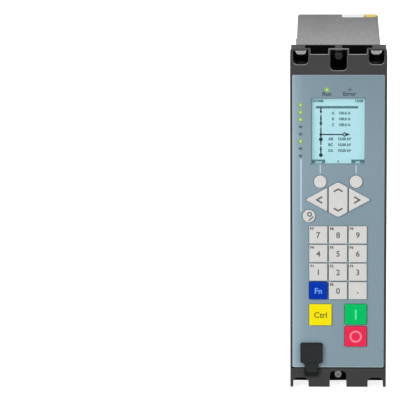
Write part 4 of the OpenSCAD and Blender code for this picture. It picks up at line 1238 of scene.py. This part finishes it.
@dataclass
class Housing:
    """The sheet-metal sleeve with its bare label and sticker.

    Attributes:
        edge: Width of the sleeve's softened edges.
        label: Left, right, front and rear edge of the label, in millimetres.
        label_corner: Radius of the label's corners.
        sticker: X and Y of the sticker's middle and its half sizes, in millimetres.
        sticker_sides: Corners of the sticker's outline.
        film: Thickness of both.
        rear: Y behind which no tab stands above the sleeve.
    """

    edge: float = 0.3 * MM
    label: tuple[float, float, float, float] = (3.4, 21.4, 184.5, 200.2)
    label_corner: float = 0.8 * MM
    sticker: tuple[float, float, float, float] = (27.0, 192.4, 5.6, 7.8)
    sticker_sides: int = 48
    film: float = 0.1 * MM
    rear: float = 150.0 * MM

    def build(self) -> None:
        """Soften the sleeve's edges and stick on the label and the oval sticker."""
        skin("housing", SHEET, self.edge)
        top = self._top()
        x0, x1, y0, y1 = (v * MM for v in self.label)
        plate = bmesh.new()
        size = Matrix.Diagonal((x1 - x0, y1 - y0, 1.0, 1.0))
        place = Matrix.Translation(((x0 + x1) / 2, (y0 + y1) / 2, top)) @ size
        bmesh.ops.create_grid(plate, x_segments=1, y_segments=1, size=0.5, matrix=place)
        bmesh.ops.bevel(plate, geom=plate.verts[:], offset=self.label_corner, offset_type="OFFSET",
                        affect="VERTICES", segments=4, profile=0.5, material=-1)
        self._stick(plate, "bare_label", LABEL)
        x, y, wide, deep = (v * MM for v in self.sticker)
        oval = bmesh.new()
        place = Matrix.Translation((x, y, top)) @ Matrix.Diagonal((wide, deep, 1.0, 1.0))
        bmesh.ops.create_circle(oval, cap_ends=True, segments=self.sticker_sides, radius=1.0, matrix=place)
        self._stick(oval, "plain_sticker", STICKER)

    def dress(self) -> None:
        """Paint the plate and screws at the back."""
        for node, finish in (("rear_plate", PLATE), ("rear_screws", STEEL), ("earth_screw", BRASS)):
            paint(node, finish)

    def _top(self) -> float:
        """Find Z of the sleeve's upper side, which the tabs stand above."""
        return max(v.co.z for v in frame["nodes"]["housing"].data.vertices if v.co.y > self.rear)

    def _stick(self, flat: bmesh.types.BMesh, name: str, finish: Finish) -> None:
        """Give a flat shape the thickness of film and turn it into a piece on the housing.

        Args:
            flat: The flat shape, in place; it is freed.
            name: Name of the piece.
            finish: Its finish.
        """
        grown = bmesh.ops.extrude_face_region(flat, geom=flat.faces[:])["geom"]
        moved = [v for v in grown if isinstance(v, bmesh.types.BMVert)]
        bmesh.ops.translate(flat, verts=moved, vec=(0.0, 0.0, self.film))
        piece_from(flat, name, ROOT, finish)


@dataclass
class RearTerminals:
    """Terminal blocks with their numbers, clamp screws and the network sockets."""

    edge: float = 0.2 * MM
    number: float = 3.0 * MM
    margin: float = 3.6 * MM
    signal_poles: int = 14
    signal_pitch: float = 5.6 * MM
    port_pitch: float = 13.8 * MM
    port_depth: float = 13.0 * MM
    port_contacts: int = 8
    contact: tuple[float, float, float] = (0.55 * MM, 4.4 * MM, 1.02 * MM)
    contact_rise: float = 1.0 * MM
    earth_gap: float = 6.0 * MM
    earth_line: float = 0.5 * MM
    earth_stem: float = 3.2 * MM
    earth_bars: tuple[float, ...] = (4.6 * MM, 3.0 * MM, 1.4 * MM)
    earth_drop: Pair = (0.3 * MM, 1.1 * MM)

    def build(self) -> None:
        """Soften the blocks' edges, print numbers beside the poles and set the ports' contacts."""
        for node in ("current_terminals", "signal_terminals_left", "signal_terminals_right"):
            skin(node, BLOCK, self.edge)
        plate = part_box("rear_plate")[1].y
        for side, start in ((-1.0, 15), (1.0, 1)):
            low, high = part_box("signal_terminals_left" if side < 0.0 else "signal_terminals_right")
            words = "\n".join(str(start + i) for i in range(self.signal_poles))
            x = (low.x if side < 0.0 else high.x) + side * self.margin
            numbers = Print(words, Vector((x, plate, (low.z + high.z) / 2)), self.number, INK_DARK,
                            leading=self.signal_pitch / self.number, facing=Facing.BACK)
            numbers.piece(f"signal_numbers_{start}", ROOT)
        self._earth_mark(plate)
        self._contacts()

    def _earth_mark(self, plate: float) -> None:
        """Print the earth symbol beside the earth screw.

        Args:
            plate: Y of the plate's back.
        """
        low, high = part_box("earth_screw")
        x, z = low.x - self.earth_gap, (low.z + high.z) / 2
        mark = Stencil(plate, Facing.BACK)
        mark.bar(x, z + self.earth_stem / 2, self.earth_line, self.earth_stem)
        first, step = self.earth_drop
        for i, width in enumerate(self.earth_bars):
            mark.bar(x, z - first - step * i, width, self.earth_line)
        mark.piece("earth_mark", ROOT, INK_DARK)

    def _contacts(self) -> None:
        """Set the contacts at the end of each network port."""
        low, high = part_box("network_sockets")
        wide, tall, pitch = self.contact
        contacts = Stencil(high.y - self.port_depth, Facing.BACK)
        z = (low.z + high.z) / 2 + self.contact_rise
        for side in (-0.5, 0.5):
            for i in range(self.port_contacts):
                middle = (low.x + high.x) / 2 + side * self.port_pitch
                contacts.bar(middle + (i - (self.port_contacts - 1) / 2) * pitch, z, wide, tall)
        contacts.piece("network_contacts", ROOT, GOLD)

    def dress(self) -> None:
        """Paint the metal parts."""
        paint("clamp_screws", STEEL)
        paint("network_sockets", TINNED)


@dataclass
class Electronics:
    """What is inside: boards, transformers, relays and the key contacts."""

    finishes: dict[str, Finish] = field(default_factory=lambda: {
        "operator_board": BOARD, "main_board": BOARD, "supply_board": BOARD, "board_connector": BLOCK,
        "dome_sheet": FILM, "rocker_pivot": BLOCK, "output_relays": RELAY_BLUE, "supply_transformer": CORE,
        **{f"current_transformer_{i}": POTTED for i in range(1, 5)}})

    def build(self) -> None:
        """Report the pieces inside: the CAD nodes are already right in shape."""
        LOG.info("%d pieces inside", len(self.finishes))

    def dress(self) -> None:
        """Paint every piece inside."""
        for node, finish in self.finishes.items():
            paint(node, finish)


@dataclass(frozen=True)
class Lamp:
    """One soft studio light.

    Attributes:
        name: Its name.
        place: Where it stands.
        size: Side of its square.
        watts: Its power.
    """

    name: str
    place: tuple[float, float, float]
    size: float
    watts: float

    def light(self) -> None:
        """Add the light to the scene, pointed at the relay."""
        data = bpy.data.lights.new(self.name, "AREA")
        data.shape = "SQUARE"
        data.size = self.size
        data.energy = self.watts
        lamp = bpy.data.objects.new(self.name, data)
        lamp.location = self.place
        lamp.rotation_mode = "QUATERNION"
        lamp.rotation_quaternion = (-Vector(self.place)).to_track_quat("-Z", "Y")
        bpy.context.scene.collection.objects.link(lamp)
        LOG.info("light %s", self.name)


@dataclass
class Studio:
    """Floor, world, lights and camera.

    Attributes:
        eye: Where the camera is, in millimetres.
        yaw: Turn of the view to the left, in degrees.
        pitch: Tilt of the view downwards, in degrees.
        roll: Turn about the view's axis, in degrees.
        focal: Focal length, in pixels of the frame.
        pixels: Width of the frame.
        ambient: Strength of the light from all round.
        lift: Light that the floor adds of its own, so that it shows as white.
        floor_half: Half the floor's side.
        floor_gap: How far the floor lies under the relay.
        floor_colour: The floor's own colour.
        floor_roughness: Its roughness.
        sensor: Width of the camera's sensor, in millimetres.
        clip: Nearest and farthest distance that the camera shows.
        lamps: The lights.
    """

    eye: tuple[float, float, float] = (-9.2, -2725.3, 615.5)
    yaw: float = 2.083
    pitch: float = 12.507
    roll: float = -0.382
    focal: float = 3564.0
    pixels: float = 400.0
    ambient: float = 0.45
    lift: float = 0.85
    floor_half: float = 6.0
    floor_gap: float = 1.0 * MM
    floor_colour: Colour = (0.8, 0.8, 0.8)
    floor_roughness: float = 0.9
    sensor: float = 36.0
    clip: Pair = (0.05, 50.0)
    lamps: tuple[Lamp, ...] = (
        Lamp("key_light", (-1.6, -1.8, 1.5), 1.4, 45.0),
        Lamp("fill_light", (1.8, -1.6, 0.6), 1.6, 11.0),
        Lamp("back_light", (0.4, 1.8, 1.6), 1.4, 13.0),
    )

    def build(self) -> None:
        """Lay the floor and set up the world, the lights and the camera."""
        self._floor()
        self._world()
        for lamp in self.lamps:
            lamp.light()
        self._camera()

    def dress(self) -> None:
        """Show colours as they are."""
        bpy.context.scene.view_settings.view_transform = "Standard"

    def _seen(self, tree: bpy.types.NodeTree) -> bpy.types.NodeSocket:
        """Tell the rays that show a background from those that light the relay.

        Args:
            tree: The node tree to add to.

        Returns:
            1 for camera, glossy and transmission rays, and 0 for others.
        """
        path = tree.nodes.new("ShaderNodeLightPath")
        seen = path.outputs["Is Camera Ray"]
        for name in ("Is Glossy Ray", "Is Transmission Ray"):
            either = tree.nodes.new("ShaderNodeMath")
            either.operation = "MAXIMUM"
            tree.links.new(seen, either.inputs[0])
            tree.links.new(path.outputs[name], either.inputs[1])
            seen = either.outputs["Value"]
        return seen

    def _floor(self) -> None:
        """Lay a plain pale floor that shows as white and keeps the relay's shadow."""
        sheet = bmesh.new()
        bmesh.ops.create_grid(sheet, x_segments=1, y_segments=1, size=self.floor_half)
        bmesh.ops.translate(sheet, vec=(0.0, 0.0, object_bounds()[0].z - self.floor_gap), verts=sheet.verts)
        mesh = bpy.data.meshes.new("floor")
        sheet.to_mesh(mesh)
        sheet.free()
        finish = bpy.data.materials.new("floor_pale")
        finish.use_nodes = True
        tree = finish.node_tree
        shader = tree.nodes["Principled BSDF"]
        shader.inputs["Base Color"].default_value = (*self.floor_colour, 1.0)
        shader.inputs["Roughness"].default_value = self.floor_roughness
        shader.inputs["Emission Color"].default_value = WHITE
        strength = tree.nodes.new("ShaderNodeMath")
        strength.operation = "MULTIPLY"
        strength.inputs[1].default_value = self.lift
        tree.links.new(self._seen(tree), strength.inputs[0])
        tree.links.new(strength.outputs["Value"], shader.inputs["Emission Strength"])
        mesh.materials.append(finish)
        floor = bpy.data.objects.new("floor", mesh)
        bpy.context.scene.collection.objects.link(floor)
        floor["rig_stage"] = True
        LOG.info("floor laid")

    def _world(self) -> None:
        """Light the scene softly from all round, with white behind the object."""
        world = bpy.data.worlds.new("studio")
        world.use_nodes = True
        tree = world.node_tree
        soft = tree.nodes["Background"]
        soft.inputs["Color"].default_value = WHITE
        soft.inputs["Strength"].default_value = self.ambient
        white = tree.nodes.new("ShaderNodeBackground")
        white.inputs["Color"].default_value = WHITE
        white.inputs["Strength"].default_value = 1.0
        mix = tree.nodes.new("ShaderNodeMixShader")
        tree.links.new(self._seen(tree), mix.inputs["Fac"])
        tree.links.new(soft.outputs["Background"], mix.inputs[1])
        tree.links.new(white.outputs["Background"], mix.inputs[2])
        tree.links.new(mix.outputs["Shader"], tree.nodes["World Output"].inputs["Surface"])
        bpy.context.scene.world = world

    def _camera(self) -> None:
        """Stand the camera where the photograph was taken from."""
        yaw, pitch, roll = (math.radians(v) for v in (self.yaw, self.pitch, self.roll))
        ahead = Vector((-math.sin(yaw) * math.cos(pitch), math.cos(yaw) * math.cos(pitch), -math.sin(pitch)))
        flat = Vector((math.cos(yaw), math.sin(yaw), 0.0))
        rise = flat.cross(ahead)
        right = flat * math.cos(roll) + rise * math.sin(roll)
        up = rise * math.cos(roll) - flat * math.sin(roll)
        data = bpy.data.cameras.new("camera")
        data.sensor_width = self.sensor
        data.lens = self.focal / self.pixels * self.sensor
        data.clip_start, data.clip_end = self.clip
        camera = bpy.data.objects.new("camera", data)
        turn = Matrix((right, up, -ahead)).transposed().to_4x4()
        camera.matrix_world = Matrix.Translation(Vector(self.eye) * MM) @ turn
        bpy.context.scene.collection.objects.link(camera)
        bpy.context.scene.camera = camera


def main() -> None:
    """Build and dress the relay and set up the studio."""
    logging.basicConfig(level=logging.INFO, format="%(name)s: %(message)s")
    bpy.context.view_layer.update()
    parts: tuple[Assembly, ...] = (
        FrontFrame(), OperatorPanel(), Display(), Keypad(), ServicePort(), Housing(), RearTerminals(),
        Electronics(), Studio())
    for part in parts:
        part.build()
        part.dress()
        LOG.info("%s done", type(part).__name__)


if __name__ == "__main__":
    main()
